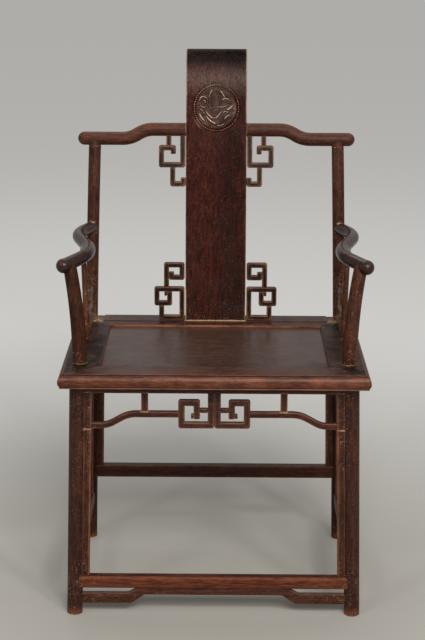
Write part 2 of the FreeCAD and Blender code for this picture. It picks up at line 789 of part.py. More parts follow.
def hump_pieces():
    """Hump rails with upright ends against the legs, on all four sides, and their struts."""
    low = dims.hump_end_bottom
    strut_bottom = low + dims.hump_rise + dims.hump_bar
    strut_height = strip_bottom - strut_bottom
    reach = dims.lining_reach
    fret_edge = dims.front_fret_width
    for side_name, side in SIDES:
        label = f"hump_rail_front_{side_name}"
        host = f"front_leg_{side_name}"
        start = (leg_x(low) - dims.front_leg_radius - reach / 2) * side
        outline = closed_bends(*hump_outline(start, fret_edge * side, dims.hump_flat_front))
        y = leg_y(low + dims.hump_rise, "front")
        rail = prism(f"{label}_rail", "XZ_Plane", outline, dims.hump_depth)
        bind(rail, "Placement.Base.y", y)
        block = block_bar(f"{label}_end", side, "front", "width", low, strip_bottom, reach,
                          dims.block_depth)
        piece(label, fused(f"{label}_blank", [rail, block]))
        scribe(label, clearances[host])
        tenon_box(label, [f"front_fret_{side_name}"], fret_edge * side, y,
                  low + dims.hump_rise + dims.hump_bar / 4, dims.fret_pin_depth * 2,
                  dims.hump_depth / 2, dims.hump_bar / 2)
        strut(f"hump_strut_front_{side_name}", dims.strut_offset * side, y, strut_bottom,
              strut_height, [label, "under_strip_front"])

    label = "hump_rail_rear"
    start = leg_x(low) - dims.rear_leg_radius - reach / 2
    y = leg_y(low + dims.hump_rise, "rear")
    piece(label, whole_hump(label, "XZ_Plane", start, dims.hump_flat_front, ("y", y), [
        block_bar(f"{label}_{side_name}", side, "rear", "width", low, strip_bottom, reach,
                  dims.block_depth) for side_name, side in SIDES]))
    for side_name, side in SIDES:
        scribe(label, clearances[f"rear_leg_post_{side_name}"])
        strut(f"hump_strut_rear_{side_name}", dims.strut_offset * side, y, strut_bottom,
              strut_height, [label, "under_strip_rear"])

    centre = (leg_y(low, "front") + leg_y(low, "rear")) / 2
    for side_name, side in SIDES:
        label = f"hump_rail_{side_name}"
        start = leg_y(low, "rear") - dims.rear_leg_radius - reach / 2 - centre
        x = leg_x(low + dims.hump_rise) * side
        rail = whole_hump(label, "YZ_Plane", start, dims.hump_flat_side, ("x", x), [
            block_bar(f"{label}_{row}", side, row, "depth", low, strip_bottom, reach,
                      dims.block_depth) for row in ("front", "rear")], centre)
        piece(label, rail)
        scribe(label, clearances[f"front_leg_{side_name}"])
        scribe(label, clearances[f"rear_leg_post_{side_name}"])
        strut(f"hump_strut_{side_name}", x, centre, strut_bottom, strut_height,
              [label, f"under_strip_{side_name}"])


def whole_hump(label, plane, start, flat, place, blocks, centre=ZERO):
    """A hump rail that rises from both ends, with its two upright ends."""
    under, over = hump_outline(start, ZERO, flat)
    lower = under[:-1] + [(-a, b) for a, b in reversed(under[:-1])]
    upper = over[:-1] + [(-a, b) for a, b in reversed(over[:-1])]
    rail = prism(f"{label}_rail", plane, closed_bends(lower, upper), dims.hump_depth)
    bind(rail, f"Placement.Base.{place[0]}", place[1])
    if plane == "YZ_Plane":
        bind(rail, "Placement.Base.y", centre)
    return fused(f"{label}_blank", [rail] + blocks)


def strut(label, x, y, bottom, height, hosts):
    """A short strut between a hump rail and the strip above it, pinned into both."""
    piece(label, box(f"{label}_blank", x, y, bottom, dims.strut_width, dims.strut_depth, height))
    pin_height = height + dims.strut_pin_depth * 2
    tenon_box(label, hosts, x, y, bottom - dims.strut_pin_depth, dims.strut_pin, dims.strut_pin,
              pin_height)


def linings():
    """Slim upright linings against the legs, from the stretchers up to the hump rails."""
    top = dims.hump_end_bottom - dims.fit
    for side_name, side in SIDES:
        cases = (
            ("front", "width", dims.foot_rail_top, f"leg_lining_front_{side_name}"),
            ("rear", "width", dims.rear_stretcher_top, f"leg_lining_rear_{side_name}"),
            ("front", "depth", dims.side_stretcher_top, f"leg_lining_side_front_{side_name}"),
            ("rear", "depth", dims.side_stretcher_top, f"leg_lining_side_rear_{side_name}"),
        )
        for row, along, bottom, label in cases:
            piece(label, block_bar(f"{label}_blank", side, row, along, bottom, top,
                                   dims.lining_reach, dims.lining_depth))
            host = f"front_leg_{side_name}" if row == "front" else f"rear_leg_post_{side_name}"
            scribe(label, clearances[host])


def back_slope(height):
    """How far the back curve runs to the rear for each length that it rises, at a height."""
    rise = height - dims.seat_top
    return rise / (back_curve * back_curve - rise * rise).root()


def scroll(name, shares, across, width, height, bar, depth, reach=ZERO):
    """Bars in one upright plane, fused, in the bracket's own frame with its foot at the origin.

    across is the sign and the axis of its width, and reach is how far the bars that end at its
    top go on into what the bracket hangs from."""
    way, axis = across
    bars = []
    for left, bottom, right, top, thickness in shares:
        thick = bar * thickness
        middle = (bar / 2 + (width - bar) * ((left + right) / 2)) * way
        length = (width - bar) * (right - left) + thick
        base = bar / 2 + (height - bar) * bottom - thick / 2
        rise = (height - bar) * (top - bottom) + thick
        if top == 1.0:
            rise = rise + reach
        if axis == "x":
            bars.append(box(f"{name}_bar", middle, ZERO, base, length, depth, rise))
        else:
            bars.append(box(f"{name}_bar", ZERO, middle, base, depth, length, rise))
    return fused(name, bars)


def stand(item, place, slope=ZERO):
    """Puts a bracket at its place, leant to the rear by a slope."""
    item.Placement = Placement(Vector(), Rotation(Vector(-1, 0, 0), 1))
    bind(item, "Placement.Rotation.Angle", slope.slope_angle())
    for letter, value in zip("xyz", place):
        bind(item, f"Placement.Base.{letter}", value)


def front_frets():
    """Two mirrored scrolls that hang from the middle of the front strip."""
    y = leg_y(dims.hump_end_bottom + dims.hump_rise, "front")
    for side_name, side in SIDES:
        label = f"front_fret_{side_name}"
        blank = scroll(f"{label}_blank", FRONT_FRET_SHARES, (side, "x"), dims.front_fret_width,
                       dims.front_fret_height, dims.front_fret_bar, dims.front_fret_depth)
        stand(blank, (dims.fit / 2 * side, y, strip_bottom - dims.front_fret_height))
        piece(label, blank)
        tenon_box(label, ["under_strip_front"], dims.front_fret_bar * side / 2, y,
                  strip_bottom - dims.fret_pin_depth, dims.fret_pin, dims.fret_pin,
                  dims.fret_pin_depth * 2)


def splat_peg(label, side, height):
    """A small peg that holds a bracket to the edge of the splat."""
    tenon_box(label, ["back_splat"], (dims.splat_width / 2 + dims.fit) * side, back_y(height),
              height - dims.bracket_peg / 2, dims.bracket_peg_depth * 2, dims.bracket_peg,
              dims.bracket_peg)


def splat_brackets():
    """A scroll in each corner between the splat's foot and the seat, in the plane of the back."""
    bottom = dims.seat_top + dims.sill_height
    height = dims.splat_bracket_height
    splat_edge = dims.splat_width / 2 + dims.fit
    first_bar = (dims.bracket_bar / 2
                 + (dims.splat_bracket_width - dims.bracket_bar) * SPLAT_BRACKET_SHARES[0][0])
    middle = bottom + height / 2
    slope = back_slope(middle)
    foot_y = back_y(middle) - height / 2 * slope
    ground = box("splat_bracket_ground", ZERO, ZERO, ZERO, dims.seat_width, dims.seat_depth,
                 bottom)
    for side_name, side in SIDES:
        label = f"splat_bracket_{side_name}"
        blank = scroll(f"{label}_blank", SPLAT_BRACKET_SHARES, (side, "x"),
                       dims.splat_bracket_width, height, dims.bracket_bar, dims.bracket_depth)
        stand(blank, (splat_edge * side, foot_y, bottom), slope)
        piece(label, blank)
        scribe(label, ground)
        tenon_box(label, ["seat_rail_rear"], (splat_edge + first_bar) * side, foot_y,
                  bottom - dims.fret_pin_depth, dims.fret_pin, dims.fret_pin,
                  dims.fret_pin_depth * 2)
        splat_peg(label, side, bottom + height * SPLAT_PEG_SHARE)


def side_brackets():
    """The same scroll laid along the side rail, from the back post to the middle post."""
    foot_y = back_y(dims.seat_top)
    length = foot_y - middle_foot_y - dims.middle_post_radius
    shares = [(low, left, high, right, thickness)
              for left, low, right, high, thickness in SPLAT_BRACKET_SHARES]
    for side_name, side in SIDES:
        label = f"side_bracket_{side_name}"
        x = leg_x(dims.seat_top) * side
        blank = scroll(f"{label}_blank", shares, (-1, "y"), length, dims.side_bracket_height,
                       dims.bracket_bar, dims.bracket_depth)
        stand(blank, (x, foot_y, dims.seat_top))
        piece(label, blank)
        scribe(label, clearances[f"rear_leg_post_{side_name}_upper"])
        scribe(label, clearances[f"arm_middle_post_{side_name}"])
        tenon_box(label, [f"seat_rail_{side_name}"], x, foot_y - length / 2,
                  dims.seat_top - dims.fret_pin_depth, dims.fret_pin, dims.fret_pin,
                  dims.fret_pin_depth * 2)


def crest_brackets():
    """A scroll in each corner between the splat and the crest rail, in the plane of the back."""
    height = dims.crest_bracket_height
    bottom = dims.crest_middle_height - dims.crest_radius - height
    middle = bottom + height / 2
    slope = back_slope(middle)
    foot_y = back_y(middle) - height / 2 * slope
    splat_edge = dims.splat_width / 2 + dims.fit
    for side_name, side in SIDES:
        label = f"crest_bracket_{side_name}"
        blank = scroll(f"{label}_blank", CREST_BRACKET_SHARES, (side, "x"),
                       dims.crest_bracket_width, height, dims.bracket_bar, dims.bracket_depth,
                       dims.crest_radius)
        stand(blank, (splat_edge * side, foot_y, bottom), slope)
        piece(label, blank)
        scribe(label, clearances[f"crest_rail_{side_name}"])
        splat_peg(label, side, bottom + height * CREST_PEG_SHARE)


def splat():
    """The tall splat: a board bent on the back curve, with its top rolled over to the rear."""
    label = "back_splat"
    bottom = dims.seat_top + dims.sill_height
    half = dims.splat_thickness / 2
    centre_y = post_foot + back_curve
    roll_y = centre_y - (roll_reach * roll_reach - roll_rise * roll_rise).root()
    roll_z = dims.seat_top + roll_rise
    radius = dims.splat_roll_radius.number
    centre = Vector(centre_y.number, dims.seat_top.number, 0)
    roll = Vector(roll_y.number, roll_z.number, 0)
    outer = back_curve.number + half.number
    inner = back_curve.number - half.number
    away = (roll - centre).normalize()
    tangent = centre + away * outer
    reach = (roll - centre).Length
    opening = math.acos((reach ** 2 + radius ** 2 - inner ** 2) / (2 * reach * radius))
    back_way = math.atan2(-away.y, -away.x)
    start_angle = math.atan2(away.y, away.x)
    end_angle = back_way - opening

    def on_roll(angle):
        return roll + Vector(math.cos(angle), math.sin(angle), 0) * radius

    def on_curve(curve_radius, height):
        rise = height - dims.seat_top.number
        return Vector(centre_y.number - math.sqrt(curve_radius ** 2 - rise ** 2), height, 0)

    closing = on_roll(end_angle)
    low = bottom.number
    outline = [
        Part.Arc(on_curve(outer, low), on_curve(outer, (low + tangent.y) / 2), tangent),
        Part.Arc(tangent, on_roll((start_angle + end_angle) / 2), closing),
        Part.Arc(closing, on_curve(inner, (low + closing.y) / 2), on_curve(inner, low)),
        Part.LineSegment(on_curve(inner, low), on_curve(outer, low)),
    ]
    piece(label, prism(f"{label}_blank", "YZ_Plane", outline, dims.splat_width))
    for side_name, side in SIDES:
        tenon_box(label, ["seat_rail_rear"], dims.splat_tenon_offset * side, back_y(bottom),
                  bottom - dims.splat_tenon_depth, dims.splat_tenon_width,
                  dims.splat_tenon_thickness, dims.splat_tenon_depth * 2)


def crest_points(side):
    """The line of half a crest rail, from the splat's edge out past the post, in its own places."""
    start = dims.splat_width / 2 + dims.fit
    step = dims.crest_step_start
    end = dims.crest_half_length - dims.crest_radius
    places = (
        (start, dims.crest_middle_height),
        (step, dims.crest_middle_height),
        (step + dims.crest_step_length, crest_outer_height),
        (end, crest_outer_height),
    )
    return [Vector(x.number * side, back_y(z).number, z.number) for x, z in places]


def crest_rail():
    """Two halves that butt against the splat, step down and run out past the posts."""
    for side_name, side in SIDES:
        label = f"crest_rail_{side_name}"
        points = crest_points(side)
        rail = bent_bar(f"{label}_bar", points, CREST_BEND_SHARE, dims.crest_radius,
                        dims.crest_radius)
        end = (dims.crest_half_length - dims.crest_radius) * side
        tip = ball(f"{label}_tip", end, back_y(crest_outer_height), crest_outer_height,
                   dims.crest_radius)
        piece(label, fused(f"{label}_blank", [rail, tip]))
        clearances[label] = bent_bar(f"{label}_around", points, CREST_BEND_SHARE,
                                     dims.crest_radius + dims.fit, dims.crest_radius + dims.fit)
        post = f"rear_leg_post_{side_name}"
        scribe(post, clearances[label])
        tenon_pin(post, [label], leg_x(crest_outer_height) * side, back_y(crest_outer_height),
                  crest_outer_height - dims.crest_radius - dims.post_pin_height,
                  dims.post_pin_radius, dims.post_pin_height * 2 + dims.crest_radius / 2)
        tenon_box(label, ["back_splat"], (dims.splat_width / 2) * side,
                  back_y(dims.crest_middle_height),
                  dims.crest_middle_height - dims.crest_tenon_height / 2,
                  dims.crest_tenon_depth * 2, dims.crest_tenon_thickness, dims.crest_tenon_height)


def arm_height(y):
    """Height of an arm's centre line, which falls evenly towards the front."""
    back = back_y(dims.arm_back_height)
    tip = front_edge + dims.arm_tip_inset
    fall = dims.arm_back_height - dims.arm_front_height
    return dims.arm_back_height - fall * (back - y) / (back - tip)


def arms():
    """Two bowed arms from the back posts to a ball end, each on a front and a middle post."""
    back = back_y(dims.arm_back_height)
    tip = front_edge + dims.arm_tip_inset
    half = dims.seat_width / 2
    tip_x = half - dims.arm_tip_side_inset
    for side_name, side in SIDES:
        label = f"arm_{side_name}"
        post_x = leg_x(dims.arm_back_height) * side
        places = ((post_x, back), ((half - dims.arm_bow_out_side_inset) * side, bow_out_y),
                  ((half - dims.arm_bow_in_side_inset) * side, bow_in_y), (tip_x * side, tip))
        points = [Vector(x.number, y.number, arm_height(y).number) for x, y in places]
        bar = bent_bar(f"{label}_bar", points, BEND_SHARE, dims.arm_back_radius,
                       dims.arm_front_radius)
        knob = ball(f"{label}_ball", tip_x * side, tip, dims.arm_front_height,
                    dims.arm_ball_radius)
        knob.Placement.Rotation = Rotation(Vector(0, 0, 1), points[-1] - points[-2])
        piece(label, fused(f"{label}_blank", [bar, knob]))
        around = bent_bar(f"{label}_around", points, BEND_SHARE, dims.arm_back_radius + dims.fit,
                          dims.arm_front_radius + dims.fit)
        host = f"rear_leg_post_{side_name}"
        scribe(label, clearances[f"{host}_upper"])
        tenon_box(label, [host], post_x, back - dims.post_radius,
                  dims.arm_back_height - dims.arm_tenon_side / 2, dims.arm_tenon_side,
                  dims.arm_tenon_depth * 2, dims.arm_tenon_side)
        front_post(side_name, side, around)
        middle_post(side_name, side, around)


def front_post(side_name, side, around):
    """A post that stands on the seat rail and flares out and back to meet the arm."""
    label = f"arm_front_post_{side_name}"
    foot_x = dims.seat_width / 2 - dims.arm_post_side_inset
    foot_y = front_edge + dims.arm_post_inset
    top = arm_height(foot_y + dims.arm_post_lean)
    rise = top - dims.seat_top
    sections = []
    for share in ARM_POST_SECTION_SHARES:
        x = foot_x + dims.arm_post_flare * share ** 2
        y = foot_y + dims.arm_post_lean * share ** 2
        radius = dims.arm_post_radius + (dims.arm_post_top_radius - dims.arm_post_radius) * share
        sections.append((x * side, y, dims.seat_top + rise * share, radius))
    piece(label, round_loft(f"{label}_blank", sections, False))
    scribe(label, around)
    tenon_pin(label, [f"seat_rail_{side_name}"], foot_x * side, foot_y,
              dims.seat_top - dims.arm_post_pin_depth, dims.arm_post_pin_radius,
              dims.arm_post_pin_depth * 2)
    tenon_pin(label, [f"arm_{side_name}"], (foot_x + dims.arm_post_flare) * side,
              foot_y + dims.arm_post_lean, top - dims.arm_front_radius - dims.arm_pin_height,
              dims.arm_pin_radius, dims.arm_front_radius + dims.arm_pin_height)


def middle_post(side_name, side, around):
    """A slender post between the seat rail and the arm, which curves back and out as it rises."""
    label = f"arm_middle_post_{side_name}"
    foot_x = leg_x(dims.seat_top)
    bow_in_x = dims.seat_width / 2 - dims.arm_bow_in_side_inset
    bow_reach = dims.arm_bow_in_side_inset - dims.arm_bow_out_side_inset
    flare = bow_in_x + bow_reach * MIDDLE_POST_SHARE - foot_x
    top = arm_height(middle_top_y)
    rise = top - dims.seat_top
    sections = []
    for share in ARM_POST_SECTION_SHARES:
        radius = (dims.middle_post_radius
                  + (dims.middle_post_top_radius - dims.middle_post_radius) * share)
        sections.append(((foot_x + flare * share ** 2) * side,
                         middle_foot_y + dims.middle_post_lean * share ** 2,
                         dims.seat_top + rise * share, radius))
    seam = EIGHTH_TURN_ANGLE * side - QUARTER_TURN_ANGLE
    piece(label, round_loft(f"{label}_blank", sections, False, seam))
    scribe(label, around)
    wider = [(x, y, z, radius + dims.fit) for x, y, z, radius in sections]
    clearances[label] = round_loft(f"{label}_around", wider, False, seam)
    tenon_pin(label, [f"seat_rail_{side_name}"], foot_x * side, middle_foot_y,
              dims.seat_top - dims.middle_post_pin_depth, dims.middle_post_pin_radius,
              dims.middle_post_pin_depth * 2)
    shoulder = 1 - dims.arm_back_radius / rise
    tenon_pin(label, [f"arm_{side_name}"], (foot_x + flare * shoulder * shoulder) * side,
              middle_foot_y + dims.middle_post_lean * shoulder * shoulder,
              top - dims.arm_back_radius - dims.middle_post_pin_height / 2,
              dims.middle_post_top_pin_radius, dims.middle_post_pin_height * 2)


clearances = {}
legs()
seat_frame()
seat_panel()
stretchers()
foot_apron()
front_frets()
hump_pieces()
linings()
splat()
crest_rail()
arms()
splat_brackets()
side_brackets()
crest_brackets()

parts = [finish(label) for label in PIECES]
doc.recompute()

faults = [item.Name for item in doc.Objects if "Invalid" in item.State or "Error" in item.State]
for item in parts:
    shape = item.Shape
    if shape.isNull() or not shape.isValid() or len(shape.Solids) != 1:
        faults.append(item.Label)
if faults:
    raise RuntimeError(f"these failed to build: {faults}")

os.makedirs("parts", exist_ok=True)
for item in parts:
    item.Shape.exportStep(f"parts/{item.Label}.step")
print(f"{len(parts)} sub-parts written")
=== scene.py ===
"""Official hat chair: its visible surfaces, finishes, light and camera, over the fixed frame.

Lengths are in metres in the frame's own axes: +Z up, the chair faces -Y. Every piece of the
chair is a surface worked out with numpy, and stands for the frame's node of the same name.
"""

import math

import bmesh
import bpy
import numpy as np
from mathutils import Matrix, Vector


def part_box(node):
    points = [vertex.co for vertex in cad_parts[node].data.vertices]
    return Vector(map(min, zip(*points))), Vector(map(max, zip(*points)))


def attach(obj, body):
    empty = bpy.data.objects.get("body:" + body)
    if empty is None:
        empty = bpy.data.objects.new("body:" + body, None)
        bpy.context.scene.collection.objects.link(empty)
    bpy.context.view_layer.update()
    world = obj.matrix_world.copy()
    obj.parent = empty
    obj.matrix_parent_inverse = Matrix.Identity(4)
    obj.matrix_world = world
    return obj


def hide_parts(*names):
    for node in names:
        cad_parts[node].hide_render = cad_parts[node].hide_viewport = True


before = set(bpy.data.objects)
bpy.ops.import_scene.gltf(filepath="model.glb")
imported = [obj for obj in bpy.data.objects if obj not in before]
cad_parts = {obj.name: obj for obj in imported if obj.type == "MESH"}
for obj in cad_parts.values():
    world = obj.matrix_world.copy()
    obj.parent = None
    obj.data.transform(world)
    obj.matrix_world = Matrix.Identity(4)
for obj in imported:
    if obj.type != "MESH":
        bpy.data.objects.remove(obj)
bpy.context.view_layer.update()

MM = 0.001
SIDES = (("left", -1.0), ("right", 1.0))

# The seat frame's box, its opening for the panel, and heights that other pieces start from
rail_low, rail_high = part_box("seat_rail_front")
SEAT_FRONT = rail_low.y
SEAT_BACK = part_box("seat_rail_rear")[1].y
SEAT_HALF = rail_high.x
SEAT_TOP = rail_high.z
FRAME_UNDER = rail_low.z
STRIP_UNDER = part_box("under_strip_front")[0].z
OPENING_HALF = SEAT_HALF - 78.5 * MM
OPENING_FRONT = SEAT_FRONT + 67.5 * MM
OPENING_BACK = SEAT_BACK - 86.0 * MM
PANEL_TOP = SEAT_TOP - 4.5 * MM
PANEL_THICK = 10.0 * MM
MITRE_GAP = 0.12 * MM
SILL_THICK = 3.0 * MM
SILL_TOP = SEAT_TOP + SILL_THICK / 2

# Legs and posts: half spread at the floor and how far they lean in by the underside of the frame
FOOT_X = 284.5 * MM
LEAN_X = 11.5 * MM
FOOT_Y = {"front": SEAT_FRONT + 33.0 * MM, "rear": SEAT_FRONT + 441.0 * MM}
LEAN_Y = {"front": 18.0 * MM, "rear": -18.0 * MM}
POST_Y = SEAT_FRONT + 423.0 * MM
LEG_RADIUS = {"front": 15.8 * MM, "rear": 15.3 * MM}
POST_RADIUS = 13.2 * MM

# Back: radius of the curve of posts and splat, the splat's roll and the crest rail
BACK_RADIUS = (396.0 ** 2 + 44.0 ** 2) / 88.0 * MM
SPLAT_HALF = 65.8 * MM
SPLAT_THICK = 14.0 * MM
ROLL_RADIUS = 20.0 * MM
CHAIR_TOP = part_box("back_splat")[1].z
CREST_HIGH = 933.5 * MM
CREST_LOW = 914.0 * MM
CREST_UNDER = 900.0 * MM
CREST_RADIUS = 14.4 * MM
CREST_STEP = (153.0 * MM, 187.0 * MM)
CREST_END = 285.6 * MM

# The roundel on the splat
ROUNDEL_HEIGHT = 980.0 * MM
ROUNDEL_RADIUS = 49.6 * MM
ROUNDEL_RELIEF = 2.2 * MM

# Shares of the roundel's radius: its sunk ground, its carving and the band of close points
GROUND_SHARE = 0.83
CARVED_SHARE = 1.13
FINE_SHARE = 1.14

# Arms, from the back posts to their ball ends, and the two posts under each
ARM_BACK = 726.0 * MM
ARM_FRONT = 713.0 * MM
ARM_BENDS = ((299.0 * MM, SEAT_FRONT + 361.0 * MM), (250.5 * MM, SEAT_FRONT + 213.0 * MM))
ARM_TIP_X = 301.5 * MM
ARM_TIP_Y = SEAT_FRONT + 106.0 * MM
ARM_RADIUS = 12.4 * MM
ARM_SWELL = 1.6 * MM
ARM_BALL = 15.0 * MM
ARM_POST_FOOT = (271.0 * MM, SEAT_FRONT + 91.0 * MM)
ARM_POST_BOW = (20.5 * MM, 31.0 * MM)
ARM_POST_RADIUS = 15.0 * MM
MIDDLE_POST_RADIUS = 6.8 * MM
POST_TAPER = 1.6 * MM
MIDDLE_POST_Y = SEAT_FRONT + 274.76 * MM
MIDDLE_POST_TOP = (280.57 * MM, SEAT_FRONT + 304.76 * MM)

# Foot rail, stretchers and the strips under the seat: height of the middle, width and thickness
# in height, how far short of a leg's middle line they end and how their arrises are eased
FOOT_RAIL_Z = 69.0 * MM
FOOT_RAIL_SIZE = (26.0 * MM, 26.0 * MM)
SIDE_STRETCHER_Z = 99.0 * MM
SIDE_STRETCHER_SIZE = (21.0 * MM, 26.0 * MM)
REAR_STRETCHER_Z = 162.5 * MM
REAR_STRETCHER_SIZE = (21.0 * MM, 29.0 * MM)
STRIP_Z = STRIP_UNDER + 9.5 * MM
STRIP_SIZE = (18.0 * MM, 23.0 * MM)
END_INSET = 5.0 * MM
RAIL_EASE = 1.6 * MM

# Apron under the foot rail: its lower edge and half its thickness
APRON_LOW = 22.5 * MM
APRON_HALF = 6.5 * MM

# Rails that rise in the middle, with how far they run level from each leg, and the linings
HUMP_LOW = 394.0 * MM
HUMP_RISE = 23.8 * MM
HUMP_RUN = 42.0 * MM
HUMP_BAR = 12.6 * MM
HUMP_FLAT = 41.0 * MM
HUMP_FLAT_SIDE = 22.0 * MM
HUMP_MIDDLE = HUMP_LOW + HUMP_RISE
BLOCK_DEPTH = 16.0 * MM
STRUT_FOOT = HUMP_MIDDLE + HUMP_BAR
STRUT_X = 139.0 * MM
LINING_REACH = 13.8 * MM
LINING_EASE = 2.4 * MM

# Scrolls: thickness of their bars, depth and heights
BRACKET_BAR = 11.2 * MM
FRET_BAR = 13.0 * MM
SCROLL_DEPTH = 12.0 * MM
CREST_SCROLL_HEIGHT = 106.4 * MM
FRONT_SCROLL_WIDTH = 72.0 * MM
FRONT_SCROLL_HEIGHT = 75.0 * MM

# Greatest gap between the rings that a long surface is made of
RING_GAP = 4.0 * MM


def leg_x(z):
    """Half spread of the legs and posts at a height: it shrinks evenly as they rise."""
    return FOOT_X - LEAN_X * z / FRAME_UNDER


def leg_y(z, row):
    """Depth of a leg's middle at a height, for the front or the rear row."""
    return FOOT_Y[row] + LEAN_Y[row] * z / FRAME_UNDER


def back_y(z):
    """Depth of the back's curve: an arc that is upright at the seat and leans back above it."""
    rise = np.asarray(z) - SEAT_TOP
    return POST_Y + BACK_RADIUS - np.sqrt(BACK_RADIUS ** 2 - rise ** 2)


def arm_z(y):
    """Height of an arm's middle, which falls evenly from the post to the tip."""
    back = back_y(ARM_BACK)
    return ARM_BACK - (ARM_BACK - ARM_FRONT) * (back - y) / (back - ARM_TIP_Y)


def dusty_spots():
    """Boxes in space where pale dust has gathered: middle, half sizes, reach and strength.

    Middles are in metres, half sizes and reaches in millimetres until the last line."""
    splat_foot = (0, POST_Y - SPLAT_THICK / 2, SILL_TOP)
    spots = [(splat_foot, (66, 1.5, 0.5), 2.4, 0.9), (splat_foot, (66, 6, 3), 50, 0.3)]
    for _, side in SIDES:
        foot_x, foot_y = ARM_POST_FOOT
        arm_joint = back_y(ARM_BACK) - POST_RADIUS
        rail_end = (side * leg_x(FOOT_RAIL_Z), leg_y(FOOT_RAIL_Z, "front"), FOOT_RAIL_Z)
        bracket_z = 570 * MM
        spots += [
            ((side * foot_x, foot_y, SEAT_TOP), (14, 14, 6.0), 70, 0.34),
            ((side * leg_x(SEAT_TOP), POST_Y, SEAT_TOP), (13, 13, 5.0), 60, 0.62),
            ((side * (leg_x(SEAT_TOP) - 20 * MM), POST_Y - 8 * MM, SEAT_TOP), (3, 5, 5), 12, 0.74),
            ((side * leg_x(bracket_z), (POST_Y + MIDDLE_POST_Y) / 2, bracket_z), (9, 70, 50),
             26, 0.42),
            ((side * leg_x(ARM_BACK), arm_joint, ARM_BACK + 11 * MM), (9, 1.0, 1), 4, 0.8),
            ((side * SPLAT_HALF, back_y(0.56), 0.555), (0.8, 9, 34), 2.4, 0.8 - 0.2 * side),
            ((side * SPLAT_HALF, back_y(0.86), 0.86), (0.8, 9, 34), 2.2, 0.5),
            ((side * STRUT_X, leg_y(HUMP_MIDDLE, "front"), STRUT_FOOT), (8, 8, 0.6), 4, 0.7),
            ((side * STRUT_X, leg_y(HUMP_MIDDLE, "front"), STRIP_UNDER), (8, 8, 0.6), 4, 0.6),
            (rail_end, (17, 12, 13), 14, 0.42),
            (rail_end, (17, 12, 13), 70, 0.3),
        ]
        for row in ("front", "rear"):
            x = side * (leg_x(HUMP_LOW) - LEG_RADIUS[row] - LINING_REACH / 2)
            y = leg_y(HUMP_LOW, row)
            spots += [
                ((x, y, HUMP_LOW), (9, 10, 0.4), 2.4, 0.85),
                ((x, y, STRIP_UNDER), (9, 10, 0.4), 2.4, 0.6),
                ((x, y, HUMP_LOW), (9, 10, 80), 20, 0.3),
                ((side * leg_x(0), leg_y(0, row), 10 * MM), (16, 16, 12), 40, 0.24),
            ]
    return [(np.array(middle), np.array(half) * MM, reach * MM, strength)
            for middle, half, reach, strength in spots]


def dusty_rings():
    """Rings of pale dust round joints: middle, axis, radius, reach and strength.

    The reaches are in millimetres until the last line."""
    rings = []
    for _, side in SIDES:
        x = side * leg_x(SEAT_TOP)
        arm_joint = back_y(ARM_BACK) - POST_RADIUS + 1.2 * MM
        rings += [
            ((side * ARM_POST_FOOT[0], ARM_POST_FOOT[1], SEAT_TOP), "z", ARM_POST_RADIUS,
             2.6, 0.66),
            ((x, MIDDLE_POST_Y, SEAT_TOP), "z", MIDDLE_POST_RADIUS, 2.4, 0.62),
            ((x, POST_Y, SEAT_TOP), "z", POST_RADIUS, 4.0, 0.85),
            ((side * leg_x(ARM_BACK), arm_joint, ARM_BACK + 1 * MM), "y", ARM_RADIUS + 0.4 * MM,
             2.2, 0.6),
            ((side * leg_x(CREST_UNDER), back_y(CREST_UNDER), CREST_LOW - CREST_RADIUS), "z",
             POST_RADIUS, 2.2, 0.55),
            ((side * SPLAT_HALF, back_y(CREST_HIGH), CREST_HIGH), "x", CREST_RADIUS, 2.0, 0.7),
        ]
    return [(np.array(middle), "xyz".index(axis), radius, reach * MM, strength)
            for middle, axis, radius, reach, strength in rings]


DUSTY_SPOTS = dusty_spots()
DUSTY_RINGS = dusty_rings()


def gathered_dust(points):
    """Share of gathered dust at each point: full in a spot, falling to none at its reach."""
    share = np.zeros(len(points))
    for middle, half, reach, strength in DUSTY_SPOTS:
        away = np.linalg.norm(np.clip(np.abs(points - middle) - half, 0.0, None), axis=1)
        share = np.maximum(share, strength * np.clip(1.0 - away / reach, 0.0, 1.0))
    for middle, axis, radius, reach, strength in DUSTY_RINGS:
        offset = points - middle
        across = np.linalg.norm(np.delete(offset, axis, axis=1), axis=1) - radius
        away = np.hypot(across, offset[:, axis])
        share = np.maximum(share, strength * np.clip(1.2 - away / reach, 0.0, 1.0))
    return share


# Surfaces


def unit(rows):
    """Rows of vectors, each divided by its own length."""
    rows = np.asarray(rows, float)
    return rows / np.linalg.norm(rows, axis=-1, keepdims=True)


def rungs(low, high, count, marks=()):
    """Places from low to high: even ones, and closer ones to both sides of each mark."""
    beside = np.array([0.0, 1.2, 2.5, 4.0, 6.0, 9.0, 14.0]) * MM
    places = [np.linspace(low, high, count)]
    for mark in marks:
        places += [mark - beside, mark + beside]
    places = np.unique(np.clip(np.concatenate(places), low, high))
    return places[np.concatenate([[True], np.diff(places) > 1e-6])]


def tube(line, radii, aside, sides=36):
    """Rings round a line: point = centre + r (cos a * n + sin a * b).

    n is the part of aside that is square to the line and b is square to both."""
    line = np.asarray(line, float)
    ahead = unit(np.gradient(line, axis=0))
    aside = np.asarray(aside, float)
    normal = unit(aside - (ahead @ aside)[:, None] * ahead)
    across = np.cross(ahead, normal)
    turn = np.linspace(0.0, 2.0 * np.pi, sides, endpoint=False)
    ring = (np.cos(turn)[None, :, None] * normal[:, None, :]
            + np.sin(turn)[None, :, None] * across[:, None, :])
    return line[:, None, :] + ring * np.asarray(radii, float)[:, None, None]


